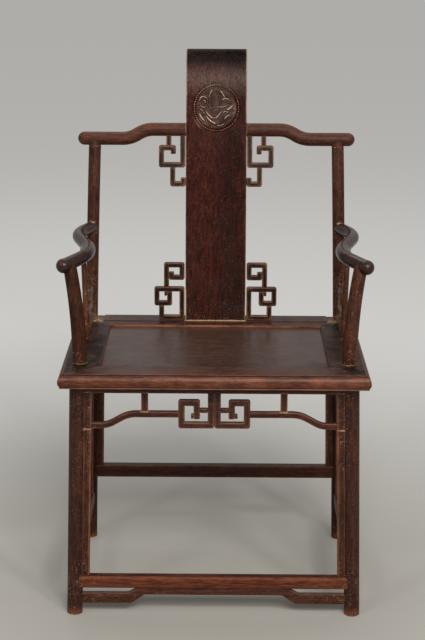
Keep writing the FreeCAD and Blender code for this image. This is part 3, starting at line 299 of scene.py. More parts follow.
def grid_faces(rows, columns, wrap=True):
    """Quads between neighbouring rows and columns of a grid of points, joined round if wrap."""
    down = np.arange(rows - 1)[:, None]
    along = np.arange(columns if wrap else columns - 1)[None, :]
    following = (along + 1) % columns
    a = down * columns + along
    b = down * columns + following
    c = (down + 1) * columns + following
    d = (down + 1) * columns + along
    return np.stack([a, b, c, d], axis=-1).reshape(-1, 4).tolist()


def closed_rings(grid, wear):
    """Points, faces and wear of a grid of rings with both end rings filled."""
    rows, columns = grid.shape[:2]
    faces = grid_faces(rows, columns)
    faces.append(list(range(columns))[::-1])
    faces.append(list(range((rows - 1) * columns, rows * columns)))
    return grid.reshape(-1, 3), faces, np.broadcast_to(wear, grid.shape[:2]).ravel()


def bent_line(corners, share, steps=14):
    """A line through corners with each bend eased: the curve (1-t)^2 a + 2t(1-t) c + t^2 b.

    a and b lie on the runs to either side of the corner c, at share of the shorter run."""
    corners = np.asarray(corners, float)
    points = [corners[:1]]
    blend = np.linspace(0.0, 1.0, steps)[:, None]
    for before, corner, after in zip(corners, corners[1:], corners[2:]):
        reach = share * min(np.linalg.norm(before - corner), np.linalg.norm(after - corner))
        a = corner + unit(before - corner) * reach
        b = corner + unit(after - corner) * reach
        points.append((1 - blend) ** 2 * a + 2 * blend * (1 - blend) * corner + blend ** 2 * b)
    points.append(corners[-1:])
    return np.concatenate(points)


def placed_line(line, gap, marks=()):
    """The same line with points at an even gap, and closer ones beside marks along its run."""
    steps = np.linalg.norm(np.diff(line, axis=0), axis=1)
    run = np.concatenate([[0.0], np.cumsum(steps)])
    keep = np.concatenate([[True], steps > 1e-7])
    places = rungs(0.0, run[-1], int(run[-1] / gap) + 2, marks)
    return np.stack([np.interp(places, run[keep], line[keep, k]) for k in range(3)], axis=1)


def round_end(line, radii, radius):
    """Adds a ball-shaped end: centres run on by radius * sin t while the rings shrink by cos t.

    t stops just short of a quarter turn, so that the last ring has a face of its own."""
    ahead = unit(line[-1] - line[-2])
    turn = np.linspace(0.0, 0.5 * np.pi * 0.985, 9)[1:, None]
    line = np.concatenate([line, line[-1] + ahead * radius * np.sin(turn)])
    radii = np.concatenate([radii, radius * np.cos(turn[:, 0])])
    return line, radii


def eased_section(width, depth, ease):
    """A bar's section: quarter rounds at the arrises, and sides that swell a little between them.

    Also gives each point's share of wear, most on the arrises and none on the flats."""
    swell = 0.022 * min(width, depth)
    turn = np.linspace(0.0, 0.5 * np.pi, 4)
    flat = np.linspace(1.0, -1.0, 7)[1:-1]
    points = []
    wear = []
    half_w, half_d = width / 2, depth / 2
    corner = np.array([half_w - swell - ease, half_d - swell - ease])
    for first, (sx, sy) in enumerate(((1, 1), (-1, 1), (-1, -1), (1, -1))):
        angle = turn + first * 0.5 * np.pi
        points.append(corner * (sx, sy) + ease * np.column_stack([np.cos(angle), np.sin(angle)]))
        wear.append([0.45, 1.0, 1.0, 0.45])
        if first % 2 == 0:
            side = np.column_stack([flat * corner[0] * sx, sy * (half_d - swell * flat ** 2)])
        else:
            side = np.column_stack([sx * (half_w - swell * flat ** 2), flat * corner[1] * sy])
        points.append(side)
        wear.append(0.1 * np.abs(flat))
    return np.concatenate(points), np.concatenate(wear)


def carried_bar(path, depth_way, width, depth, ease=1.4 * MM, round_by=0.0):
    """A section carried along a path in a plane, mitred where the path turns.

    Point = path + a * m + b * depth_way, where a and b are the section's own coordinates and m
    lies in the plane, square to the path and lengthened at a turn so that the mitre closes. With
    round_by, the outer side of a sharp turn swings round a pivot that far inside its corner. The
    ends close over a quarter round of the radius ease."""
    path = np.asarray(path, float)
    depth_way = unit(depth_way)
    section, worn = eased_section(width, depth, ease)
    a, b = section[:, :1], section[:, 1:]
    length = np.linalg.norm(np.diff(path, axis=0), axis=1)
    run = unit(np.diff(path, axis=0))
    side = np.cross(depth_way, run)
    cosine = np.clip(np.sum(side[:-1] * side[1:], axis=1), -0.99, 1.0)
    margin = np.concatenate([[ease], width / 2 * np.sqrt((1 - cosine) / (1 + cosine)), [ease]])
    grid = []
    wear = []

    def ring(points, rub=worn):
        grid.append(points)
        wear.append(rub)

    def end(place, inward, aside, order):
        quarter = 0.5 * np.pi
        for turn in np.linspace(0.0, quarter, 4)[::order]:
            shrink = ease * (1.0 - math.sin(turn))
            middle = place + inward * ease * (1.0 - math.cos(turn))
            ring(middle + a * (1 - 2 * shrink / width) * aside
                 + b * (1 - 2 * shrink / depth) * depth_way,
                 np.maximum(worn, 0.8 * (turn < quarter)))

    def turn_at(k):
        mitre = (side[k - 1] + side[k]) / (1.0 + cosine[k - 1])
        if round_by == 0.0 or cosine[k - 1] > 0.5:
            ring(path[k] + a * mitre + b * depth_way)
            return
        outer = np.sign(mitre @ run[k - 1])
        bound = outer * (width / 2 - round_by)
        reach = np.clip(outer * (a - bound), 0.0, None)
        inside = path[k] + np.where(reach > 0, bound, a) * mitre + b * depth_way
        square = unit(side[k] - cosine[k - 1] * side[k - 1])
        for angle in np.linspace(0.0, math.acos(cosine[k - 1]), 6):
            way = outer * (math.cos(angle) * side[k - 1] + math.sin(angle) * square)
            ring(inside + reach * way, np.maximum(worn, 0.5 * (reach[:, 0] > 0)))

    end(path[0], run[0], side[0], 1)
    for k in range(len(run)):
        free = length[k] - margin[k] - margin[k + 1]
        if free > 0.5 * MM:
            for share in np.linspace(0.0, 1.0, int(free / RING_GAP) + 2)[1:-1]:
                middle = path[k] + run[k] * (margin[k] + free * share)
                ring(middle + a * side[k] + b * depth_way)
        if k + 1 < len(run):
            turn_at(k + 1)
    end(path[-1], -run[-1], side[-1], -1)
    return closed_rings(np.array(grid), np.array(wear))


def plate(outline, back, front):
    """A flat board: an outline in x and z between two depths, its arrises eased.

    Rings go over the front arris and the back one; each ring is the outline moved inwards by
    ease * (1 - sin t) while its depth moves by ease * (1 - cos t)."""
    ease = 1.0 * MM
    outline = np.asarray(outline, float)
    before = unit(outline - np.roll(outline, 1, axis=0))
    after = unit(np.roll(outline, -1, axis=0) - outline)
    inward = np.stack([-before[:, 1], before[:, 0]], axis=1)
    inward_next = np.stack([-after[:, 1], after[:, 0]], axis=1)
    mitre = (inward + inward_next) / (1.0 + np.sum(inward * inward_next, axis=1))[:, None]
    area = 0.5 * np.sum(outline[:, 0] * np.roll(outline[:, 1], -1)
                        - outline[:, 1] * np.roll(outline[:, 0], -1))
    mitre *= np.sign(area)
    rings = []
    for face, way in ((front, 1.0), (back, -1.0)):
        for turn in np.linspace(0.0, 0.5 * np.pi, 4)[::int(way)]:
            moved = outline + mitre * ease * (1.0 - math.sin(turn))
            depth = face + way * ease * (1.0 - math.cos(turn))
            rings.append(np.column_stack([moved[:, 0], np.full(len(moved), depth), moved[:, 1]]))
    wear = np.array([0.05, 0.7, 0.5, 0.2, 0.2, 0.5, 0.7, 0.05])
    return closed_rings(np.array(rings), wear[:, None])


def joined(parts):
    """Several sets of points, faces and wear as one set."""
    points = []
    faces = []
    wear = []
    count = 0
    for some_points, some_faces, some_wear in parts:
        points.append(some_points)
        wear.append(some_wear)
        faces.extend([[index + count for index in face] for face in some_faces])
        count += len(some_points)
    return np.concatenate(points), faces, np.concatenate(wear)


def shaded_flats(shape, grime_and_shade):
    """The same shape with painted shade, a number below none, on the flats that nothing has worn.
    """
    points, faces, wear = shape
    return points, faces, np.where(wear == 0.0, grime_and_shade, wear)


def in_scene(name, data):
    """A mesh, a lamp or a camera as an object of the scene."""
    piece = bpy.data.objects.new(name, data)
    bpy.context.scene.collection.objects.link(piece)
    return piece


def add_piece(node, shape, finish, smooth=40.0, hazy=None, ending="_wood"):
    """Makes a piece of points, faces and wear; it rides on the frame and stands for its node.

    Its name is the node's with an ending. Wear below none is dirt and painted shade. hazy is a
    share of grey film at each point, on a carved piece."""
    points, faces, wear = shape
    mesh = bpy.data.meshes.new(node + ending)
    mesh.from_pydata(np.asarray(points).tolist(), [], faces)
    marks = {"worn": wear, "dusty": gathered_dust(points)}
    if hazy is not None:
        marks["hazy"] = hazy
    for label, values in marks.items():
        mesh.attributes.new(label, "FLOAT", "POINT").data.foreach_set(
            "value", np.asarray(values, np.float32))
    shell = bmesh.new()
    shell.from_mesh(mesh)
    bmesh.ops.remove_doubles(shell, verts=shell.verts, dist=2e-6)
    bmesh.ops.recalc_face_normals(shell, faces=shell.faces)
    shell.to_mesh(mesh)
    shell.free()
    mesh.shade_smooth()
    mesh.set_sharp_from_angle(angle=math.radians(smooth))
    mesh.materials.append(finish)
    piece = in_scene(node + ending, mesh)
    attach(piece, "root")
    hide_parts(node)


# Finishes


def paint(red, green, blue):
    """A colour as it is seen on a screen, 0 to 255, as the light that a surface gives back."""
    shares = np.array([red, green, blue]) / 255.0
    light = np.where(shares <= 0.04045, shares / 12.92, ((shares + 0.055) / 1.055) ** 2.4)
    return (*light.tolist(), 1.0)


def dimmed(colour, share):
    """A colour as it is seen on a screen, brought down to a share of itself."""
    return paint(*[part * share for part in colour])


class Graph:
    """Short names for the nodes of one tree and their links."""

    def __init__(self, tree):
        self.tree = tree

    def node(self, kind, inputs=None, **settings):
        made = self.tree.nodes.new(kind)
        for key, value in settings.items():
            setattr(made, key, value)
        for key, value in (inputs or {}).items():
            self.feed(made.inputs[key], value)
        return made

    def feed(self, socket, value):
        if isinstance(value, bpy.types.NodeSocket):
            self.tree.links.new(value, socket)
        else:
            socket.default_value = value

    def sum(self, a, b, operation="ADD", clamp=False):
        made = self.node("ShaderNodeMath", {0: a, 1: b}, operation=operation, use_clamp=clamp)
        return made.outputs[0]

    def times(self, a, b, clamp=False):
        return self.sum(a, b, "MULTIPLY", clamp)

    def ramp(self, value, low, high, out_low=0.0, out_high=1.0):
        """A smooth step from out_low at low to out_high at high."""
        made = self.node("ShaderNodeMapRange", {"Value": value, "From Min": low, "From Max": high,
                         "To Min": out_low, "To Max": out_high}, interpolation_type="SMOOTHSTEP")
        return made.outputs["Result"]

    def mix(self, share, first, second):
        made = self.node("ShaderNodeMix", data_type="RGBA")
        self.feed(made.inputs[0], share)
        self.feed(made.inputs[6], first)
        self.feed(made.inputs[7], second)
        return made.outputs[2]

    def noise(self, vector, scale, detail=3.0, rough=0.55, lean=0.0):
        made = self.node("ShaderNodeTexNoise", {"Vector": vector, "Scale": scale,
                         "Detail": detail, "Roughness": rough, "Distortion": lean})
        return made.outputs["Fac"]

    def coordinate(self, vector, letter):
        return self.node("ShaderNodeSeparateXYZ", {0: vector}).outputs[letter]

    def mark(self, label):
        """A number that the mesh carries at each point."""
        return self.node("ShaderNodeAttribute", attribute_name=label).outputs["Fac"]

    def group(self, made, **inputs):
        node = self.node("ShaderNodeGroup", node_tree=made)
        for key, value in inputs.items():
            self.feed(node.inputs[key], value)
        return node.outputs


def empty_graph(owner):
    """The node tree of a material or a world with nothing in it."""
    owner.use_nodes = True
    owner.node_tree.nodes.clear()
    return Graph(owner.node_tree)


VECTORS = ("Stretched", "Place")


def new_group(name, inputs, outputs):
    """An empty node group with named sockets; an input whose name is in VECTORS is a vector."""
    group = bpy.data.node_groups.new(name, "ShaderNodeTree")
    for label in inputs:
        kind = "NodeSocketVector" if label in VECTORS else "NodeSocketFloat"
        group.interface.new_socket(label, in_out="INPUT", socket_type=kind)
    for label in outputs:
        group.interface.new_socket(label, in_out="OUTPUT", socket_type="NodeSocketFloat")
    graph = Graph(group)
    source = graph.node("NodeGroupInput")
    target = graph.node("NodeGroupOutput")
    return group, graph, source.outputs, target.inputs


# Layers of the wood's figure: the vector that the noise follows, its scale, detail, roughness
# and distortion, and the values where the layer starts and is full
FIGURE_LAYERS = {
    "Glow": ("Stretched", 130.0, 2.0, 0.6, 0.2, 0.5, 0.72),
    "Pores": ("Stretched", 900.0, 2.0, 0.5, 0.0, 0.55, 0.68),
    "Patches": ("Place", 24.0, 4.0, 0.6, 0.0, 0.35, 0.68),
    "Clouds": ("Place", 8.0, 3.0, 0.6, 0.0, 0.48, 0.72),
}


def fibre_group():
    """Wood figure from a vector stretched along the grain.

    Streaks mix broad and fine fibres, Glow is where reddish ones lie and Pores are thin dark
    lines. Patches and the larger Clouds are soft and don't follow the grain."""
    group, graph, given, out = new_group("wood_fibre", VECTORS, ("Streaks", *FIGURE_LAYERS))
    broad = graph.noise(given["Stretched"], 210.0, 3.0, 0.6, 0.2)
    fine = graph.noise(given["Stretched"], 560.0, 2.0, 0.6)
    both = graph.sum(graph.times(broad, 0.42), graph.times(fine, 0.58))
    graph.feed(out["Streaks"], graph.ramp(both, 0.36, 0.64))
    for label, (vector, scale, detail, rough, lean, start, full) in FIGURE_LAYERS.items():
        layer = graph.noise(given[vector], scale, detail, rough, lean)
        graph.feed(out[label], graph.ramp(layer, start, full))
    return group


def wear_group():
    """Where the lacquer is rubbed through, along arrises, and where dirt and painted shade lie, in
    grooves and on darkened flats.

    Both are broken up by patches, and the rubbing by the grain too."""
    group, graph, given, out = new_group("rubbed_lacquer", ("Worn", "Patches", "Streaks", "Amount"),
                                         ("Mask", "Grime_and_shade"))
    broken = graph.sum(graph.times(given["Patches"], 0.7), graph.times(given["Streaks"], 0.5))
    edge = graph.times(given["Worn"], graph.sum(broken, 0.15))
    graph.feed(out["Mask"], graph.times(edge, given["Amount"], clamp=True))
    darkened = graph.times(given["Worn"], -1.0, clamp=True)
    graph.feed(out["Grime_and_shade"], graph.times(darkened, graph.sum(given["Patches"], 0.7), clamp=True))
    return group


def dust_group():
    """Dust: pale specks in cells of a fine Voronoi, a grey film on top, golden dust in corners.

    Gathered is the share of the golden dust that the surface carries by its place."""
    group, graph, given, out = new_group("settled_dust", ("Place", "Amount", "Gathered"),
                                         ("Specks", "Film", "Gold"))
    cells = graph.node("ShaderNodeTexVoronoi", {"Vector": given["Place"], "Scale": 470.0})
    draw = graph.node("ShaderNodeSeparateColor", {0: cells.outputs["Color"]}).outputs[0]
    likely = graph.sum(graph.times(draw, 0.52), graph.times(given["Gathered"], 0.1))
    spot = graph.sum(likely, cells.outputs["Distance"], "SUBTRACT")
    drift = graph.ramp(graph.noise(given["Place"], 70.0, 3.0, 0.6), 0.38, 0.68)
    specks = graph.times(graph.ramp(spot, 0.12, 0.24), graph.sum(drift, 0.3))
    more = graph.sum(given["Amount"], graph.times(given["Gathered"], 1.8))
    graph.feed(out["Specks"], graph.times(specks, more, clamp=True))
    normal = graph.node("ShaderNodeNewGeometry").outputs["Normal"]
    lying = graph.ramp(graph.coordinate(normal, "Z"), 0.25, 1.0)
    film = graph.times(graph.times(lying, graph.sum(drift, 0.45)), given["Amount"], clamp=True)
    graph.feed(out["Film"], film)
    grit = graph.noise(given["Place"], 420.0, 3.0, 0.65)
    cover = graph.sum(graph.times(grit, 1.1), given["Gathered"])
    graph.feed(out["Gold"], graph.ramp(cover, 0.98, 1.5))
    return group


GROUPS = {"fibre": fibre_group(), "wear": wear_group(), "dust": dust_group()}
STRETCH = {"x": (0.09, 1.0, 1.0), "y": (1.0, 0.09, 1.0), "z": (1.0, 1.0, 0.09)}
# Grey of the dust film; it also colours the band of painted sheen
DUST_AND_SHEEN_GREY = paint(130, 112, 101)
GOLD_DUST = paint(208, 170, 128)
SPECK = paint(204, 162, 130)


def wood(name, grain, dark, light, red, rubbed, wear=1.0, dust=0.3, gloss=0.38, shine=0.14,
         coat=0.0, painted_sheen=None, painted_top_shade=None, carved=False):
    """Old lacquered hardwood: grain from dark to light with red fibres, worn arrises and dust.

    painted_sheen is a height, a half reach and a strength of a greyish band of painted sheen across
    the wood. painted_top_shade is the height where painted shade starts to darken the wood upwards,
    the height where it is darkest and how much of its tone is lost there. carved wood has a grey
    film in its carving and a polish on what is worn. The tone is built up in layers, each mixed
    over what lies under it."""
    material = bpy.data.materials.new(name)
    graph = empty_graph(material)
    place = graph.node("ShaderNodeTexCoord").outputs["Object"]
    stretched = graph.node("ShaderNodeMapping", {"Vector": place, "Scale": STRETCH[grain]})
    fibre = graph.group(GROUPS["fibre"], Stretched=stretched.outputs[0], Place=place)
    streaks, patches = fibre["Streaks"], fibre["Patches"]
    worn = graph.mark("worn")
    rub = graph.group(GROUPS["wear"], Worn=worn, Patches=patches, Streaks=streaks, Amount=wear)
    settled = graph.group(GROUPS["dust"], Place=place, Amount=dust, Gathered=graph.mark("dusty"))
    layers = [(graph.times(fibre["Glow"], 0.45), paint(*red)),
              (graph.times(fibre["Pores"], 0.55), dimmed(dark, 0.5)),
              (graph.times(fibre["Clouds"], 0.4), paint(*dark))]
    film = graph.times(settled["Film"], graph.sum(1.0, rub["Grime_and_shade"], "SUBTRACT"))
    # A band of painted sheen at a height, added to the grey film
    if painted_sheen:
        middle, half_reach, strength = painted_sheen
        away = graph.sum(graph.coordinate(place, "Z"), middle, "SUBTRACT")
        sheen_share = graph.ramp(graph.sum(away, 0.0, "ABSOLUTE"), half_reach, 0.0)
        sheen_share = graph.times(graph.times(sheen_share, graph.sum(graph.times(streaks, 0.8), 0.4)), strength)
        film = graph.sum(film, sheen_share, clamp=True)
    if carved:
        cover = graph.times(graph.mark("hazy"), graph.sum(patches, 0.5))
        film = graph.sum(film, cover, clamp=True)
        coat = graph.times(worn, 0.6, clamp=True)
    # Painted shade: the wood darkens upwards over the top of the roll
    if painted_top_shade:
        low, high, lost = painted_top_shade
        layers.append((graph.ramp(graph.coordinate(place, "Z"), low, high, 0.0, lost),
                       dimmed(dark, 0.3)))
    # Wear below none darkens the tone: dirt, and painted shade where the pieces set it
    layers += [(rub["Grime_and_shade"], dimmed(dark, 0.35)),
               (rub["Mask"], paint(*rubbed)),
               (graph.times(film, 0.45), DUST_AND_SHEEN_GREY),
               (graph.times(settled["Gold"], 0.75), GOLD_DUST),
               (graph.times(settled["Specks"], 0.75), SPECK)]
    tone = graph.mix(streaks, paint(*dark), paint(*light))
    for share, colour in layers:
        tone = graph.mix(share, tone, colour)
    rough = gloss
    for share, part in ((streaks, 0.09), (film, 0.15), (settled["Gold"], 0.35), (patches, 0.08)):
        rough = graph.sum(rough, graph.times(share, part), clamp=True)
    height = graph.sum(graph.times(streaks, 0.6), graph.times(fibre["Pores"], -0.7))
    bump = graph.node("ShaderNodeBump", {"Height": height, "Strength": 0.2,
                                         "Distance": 0.0004}).outputs[0]
    shader = graph.node("ShaderNodeBsdfPrincipled", {"Base Color": tone, "Roughness": rough,
                        "Normal": bump, "Coat Weight": coat, "Coat Roughness": 0.16,
                        "Specular IOR Level": shine})
    graph.node("ShaderNodeOutputMaterial", {"Surface": shader.outputs[0]})
    return material


DARK = (32, 14, 9)
LIGHT = (68, 38, 28)
RED = (86, 40, 22)
RUBBED = (132, 78, 50)
frame_z = wood("leg_wood", "z", DARK, (64, 36, 27), RED, RUBBED, dust=0.42)
frame_x = wood("rail_wood", "x", DARK, (62, 33, 23), RED, (124, 76, 52), wear=0.75, dust=0.2)
frame_y = wood("side_wood", "y", DARK, LIGHT, RED, RUBBED, dust=0.22)
foot_wood = wood("foot_rail_wood", "x", (64, 29, 19), (108, 61, 44), (122, 58, 35), (136, 80, 54),
                 dust=0.05, gloss=0.42, shine=0.05)
post_wood = wood("post_wood", "z", (24, 10, 7), (61, 31, 21), (86, 40, 23), RUBBED, dust=0.42,
                 shine=0.1)
# The left front post of the arms is a darker copy of the post wood: painted shade on that side
shaded_post_wood = wood("shaded_post_wood", "z", (19, 8, 6), (42, 22, 16), (60, 28, 18), RUBBED,
                      dust=0.14, gloss=0.44, shine=0.05)
apron_wood = wood("apron_wood", "x", (40, 20, 14), (78, 46, 34), RED, RUBBED, dust=0.5)
arm_wood = wood("arm_wood", "y", (19, 9, 6), (42, 22, 16), (62, 29, 19), (96, 58, 41),
                dust=0.1, gloss=0.24, shine=0.16, coat=0.24)
crest_wood = wood("crest_wood", "x", (44, 20, 12), (79, 41, 27), (100, 50, 28), (124, 76, 52),
                  dust=0.22)
# The splat has a band of painted sheen below its roll, and painted shade darkening over the roll
# The splat's pale rubbed colour also paints highlights on the roundel's carving and along its upper
# edges
splat_finish = wood("splat_wood", "z", (26, 6, 4), (66, 27, 18), (84, 34, 21), (214, 170, 142),
                    dust=0.22, gloss=0.36, shine=0.04, painted_sheen=(1.04, 0.042, 0.66),
                    painted_top_shade=(1.056, 1.086, 0.94), carved=True)
scroll_wood = wood("scroll_wood", "z", (14, 8, 6), (39, 24, 18), (58, 33, 22), (132, 92, 68),
                   wear=0.85, dust=0.2, gloss=0.32, shine=0.08)
fret_wood = wood("fret_wood", "x", (32, 16, 11), (60, 35, 26), (88, 48, 30), (122, 78, 56),
                 wear=0.65, dust=0.4)
seat_x = wood("seat_rail_wood", "x", (43, 18, 10), (82, 44, 30), (104, 52, 30), (138, 84, 60),
              dust=0.2, gloss=0.32)
seat_y = wood("seat_side_wood", "y", (40, 19, 12), (76, 43, 30), (96, 50, 30), (134, 88, 64),
              dust=0.2, gloss=0.34, shine=0.08)
panel_wood = wood("seat_panel_wood", "x", (44, 26, 19), (74, 47, 36), (90, 54, 38),
                  (112, 78, 60), dust=0.18, gloss=0.28, shine=0.2, coat=0.08)

# Legs, posts and arms


def legs_and_posts():
    """Round legs that splay, and above the seat posts on the back's curve.

    A ring's plane leans with the leg, so the points of a foot that would lie under the floor are
    raised to it."""
    foot_ease = 0.8 * MM
    for side_name, side in SIDES:
        marks = (FOOT_RAIL_Z, SIDE_STRETCHER_Z, HUMP_LOW, STRIP_UNDER)
        z = np.concatenate([[0.0], rungs(foot_ease, FRAME_UNDER, 30, marks)])
        for row, name in (("front", "front_leg"), ("rear", "rear_leg_post")):
            line = np.column_stack([side * leg_x(z), leg_y(z, row), z])
            radii = np.full(len(z), LEG_RADIUS[row])
            radii[0] -= foot_ease
            worn_foot = 0.9 * (z[:, None] < 1.5 * MM)
            ring = tube(line, radii, (0, -1, 0), 40)
            ring[..., 2] = np.maximum(ring[..., 2], 0.0)
            shape = closed_rings(ring, worn_foot)
            if row == "rear":
                high = rungs(FRAME_UNDER, CREST_LOW, 70, (SEAT_TOP, ARM_BACK, CREST_UNDER))
                line = np.column_stack([side * leg_x(high), back_y(high), high])
                post = tube(line, np.full(len(high), POST_RADIUS), (0, -1, 0))
                shape = joined([shape, closed_rings(post, 0.12)])
            add_piece(f"{name}_{side_name}", shape, frame_z if row == "front" else post_wood)


def upper_side(grid, line, radii):
    """How far each point of a tube's rings lies up its own ring, squared, none below."""
    lift = (grid[..., 2] - line[:, None, 2]) / np.maximum(radii, 1e-4)[:, None]
    return np.clip(lift, 0.0, 1.0) ** 2


def arms():
    """Arms on a twice-bowed line, the curved front posts and the slender middle posts."""
    for side_name, side in SIDES:
        plan = np.array([(leg_x(ARM_BACK), back_y(ARM_BACK)), *ARM_BENDS, (ARM_TIP_X, ARM_TIP_Y)])
        corners = np.column_stack([side * plan[:, 0], plan[:, 1], arm_z(plan[:, 1])])
        line = placed_line(bent_line(corners, 0.48), RING_GAP, (POST_RADIUS,))
        share = np.linspace(0.0, 1.0, len(line))
        flare = (ARM_BALL - ARM_RADIUS - ARM_SWELL) * np.clip((share - 0.95) / 0.05, 0, 1) ** 2
        line, radii = round_end(line, ARM_RADIUS + ARM_SWELL * share + flare, ARM_BALL)
        grid = tube(line, radii, (0, 0, 1))
        add_piece(f"arm_{side_name}", closed_rings(grid, 0.25 * upper_side(grid, line, radii)),
                  arm_wood)
        foot_x, foot_y = ARM_POST_FOOT
        bow_x, bow_y = ARM_POST_BOW
        top_z = arm_z(foot_y + bow_y)
        z = rungs(SEAT_TOP, top_z, 50, (SEAT_TOP, ARM_FRONT - 13 * MM))
        share = (z - SEAT_TOP) / (top_z - SEAT_TOP)
        line = np.column_stack([side * (foot_x + bow_x * share ** 2),
                                foot_y + bow_y * share ** 2, z])
        radii = ARM_POST_RADIUS - POST_TAPER * share
        add_piece(f"arm_front_post_{side_name}",
                  closed_rings(tube(line, radii, (0, -1, 0)), 0.12),
                  post_wood if side > 0 else shaded_post_wood)
        top_x, top_y = MIDDLE_POST_TOP
        foot_x = leg_x(SEAT_TOP)
        line = np.column_stack([
            side * (foot_x + (top_x - foot_x) * share ** 2),
            MIDDLE_POST_Y + (top_y - MIDDLE_POST_Y) * share ** 2,
            SEAT_TOP + (arm_z(top_y) - SEAT_TOP) * share])
        radii = MIDDLE_POST_RADIUS - POST_TAPER * share
        add_piece(f"arm_middle_post_{side_name}",
                  closed_rings(tube(line, radii, (0, -1, 0), 24), 0.25), post_wood)


def crest_rail():
    """Two halves of round rail on a line that steps down between splat and post."""
    for side_name, side in SIDES:
        plan = np.array([(SPLAT_HALF, CREST_HIGH), (CREST_STEP[0], CREST_HIGH),
                         (CREST_STEP[1], CREST_LOW), (CREST_END, CREST_LOW)])
        corners = np.column_stack([side * plan[:, 0], back_y(plan[:, 1]), plan[:, 1]])
        line = placed_line(bent_line(corners, 0.42), RING_GAP, (0.0,))
        radii = np.full(len(line), CREST_RADIUS)
        line, radii = round_end(line, radii, CREST_RADIUS)
        grid = tube(line, radii, (0, 0, 1))
        add_piece(f"crest_rail_{side_name}",
                  closed_rings(grid, 0.4 * upper_side(grid, line, radii)), crest_wood)


# Splat

# Strokes of the roundel's plant, as four control points of a curve and half a width, in shares
# of the roundel's radius
PLANT_SHARES = (
    ((-0.15, 0.10), (-0.20, 0.42), (-0.06, 0.62), (0.00, 0.63), 0.030),
    ((0.00, 0.63), (0.08, 0.62), (0.19, 0.42), (0.14, 0.10), 0.030),
    ((-0.17, 0.76), (-0.26, 0.70), (-0.30, 0.58), (-0.33, 0.44), 0.040),
    ((0.10, 0.74), (0.24, 0.68), (0.30, 0.54), (0.36, 0.44), 0.042),
    ((0.24, 0.34), (0.36, 0.42), (0.50, 0.42), (0.60, 0.28), 0.038),
    ((-0.74, 0.30), (-0.68, 0.54), (-0.48, 0.52), (-0.42, 0.36), 0.036),
    ((-0.72, 0.12), (-0.64, 0.00), (-0.52, 0.00), (-0.44, 0.06), 0.034),
    ((-0.60, 0.30), (-0.50, 0.34), (-0.44, 0.24), (-0.52, 0.18), 0.034),
    ((0.00, 0.05), (0.16, 0.02), (0.34, 0.02), (0.50, 0.12), 0.034),
    ((0.46, -0.08), (0.54, -0.04), (0.62, 0.02), (0.70, 0.10), 0.060),
    ((-0.46, -0.12), (-0.38, -0.30), (-0.24, -0.42), (-0.10, -0.43), 0.042),
    ((-0.10, -0.43), (0.04, -0.43), (0.10, -0.28), (0.22, -0.14), 0.036),
    ((-0.42, -0.36), (-0.34, -0.52), (-0.20, -0.60), (-0.04, -0.66), 0.058),
    ((-0.74, -0.24), (-0.70, -0.36), (-0.62, -0.46), (-0.52, -0.54), 0.050),
    ((-0.76, -0.10), (-0.66, -0.02), (-0.56, -0.16), (-0.52, -0.28), 0.034),
    ((0.28, -0.20), (0.34, -0.12), (0.44, -0.14), (0.52, -0.22), 0.034),
    ((0.34, -0.50), (0.38, -0.40), (0.46, -0.32), (0.60, -0.30), 0.046),
    ((0.02, -0.72), (0.12, -0.80), (0.24, -0.74), (0.34, -0.66), 0.040),
    ((0.46, 0.28), (0.54, 0.22), (0.60, 0.20), (0.68, 0.24), 0.030),
    ((-0.20, 0.08), (-0.27, 0.40), (-0.14, 0.72), (0.00, 0.73), 0.026),
    ((0.00, 0.73), (0.14, 0.72), (0.27, 0.44), (0.20, 0.16), 0.026),
    ((-0.38, 0.42), (-0.42, 0.32), (-0.42, 0.20), (-0.34, 0.08), 0.028),
    ((-0.34, 0.04), (-0.30, -0.08), (-0.20, -0.10), (-0.10, -0.02), 0.026),
    ((0.30, 0.24), (0.40, 0.28), (0.46, 0.26), (0.52, 0.18), 0.024),
    ((-0.68, 0.28), (-0.62, 0.42), (-0.54, 0.40), (-0.50, 0.30), 0.026),
    ((-0.36, -0.20), (-0.28, -0.32), (-0.18, -0.36), (-0.10, -0.34), 0.022),
    ((-0.04, -0.18), (0.04, -0.26), (0.10, -0.20), (0.16, -0.08), 0.024),
    ((-0.22, -0.16), (-0.14, -0.24), (-0.06, -0.24), (0.00, -0.14), 0.022),
    ((-0.36, -0.46), (-0.26, -0.58), (-0.14, -0.68), (-0.02, -0.74), 0.022),
    ((0.24, -0.32), (0.28, -0.42), (0.30, -0.54), (0.26, -0.64), 0.026),
    ((0.10, -0.46), (0.18, -0.50), (0.22, -0.58), (0.16, -0.66), 0.024),
    ((0.40, -0.56), (0.46, -0.48), (0.54, -0.42), (0.64, -0.40), 0.024),
    ((0.56, -0.02), (0.62, -0.08), (0.68, -0.12), (0.76, -0.10), 0.024),
    ((-0.60, -0.10), (-0.54, -0.20), (-0.56, -0.32), (-0.62, -0.38), 0.024),
    ((-0.48, 0.58), (-0.42, 0.66), (-0.32, 0.70), (-0.24, 0.66), 0.024),
    ((0.42, 0.50), (0.50, 0.52), (0.56, 0.48), (0.58, 0.40), 0.024),
)


def stroke_distance(x, y, stroke):
    """Distance from a stroke's line in half widths of the stroke, which thins towards both ends.

    The line is (1-t)^3 a + 3t(1-t)^2 b + 3t^2 (1-t) c + t^3 d."""
    *corners, width = stroke
    a, b, c, d = np.array(corners)
    t = np.linspace(0.0, 1.0, 36)[:, None]
    line = (1 - t) ** 3 * a + 3 * t * (1 - t) ** 2 * b + 3 * t ** 2 * (1 - t) * c + t ** 3 * d
    widths = width * np.interp(t[:, 0], (0.0, 0.3, 0.7, 1.0), (0.6, 1.0, 1.0, 0.55))
    return (np.hypot(x[:, None] - line[:, 0], y[:, None] - line[:, 1]) / widths).min(axis=1)


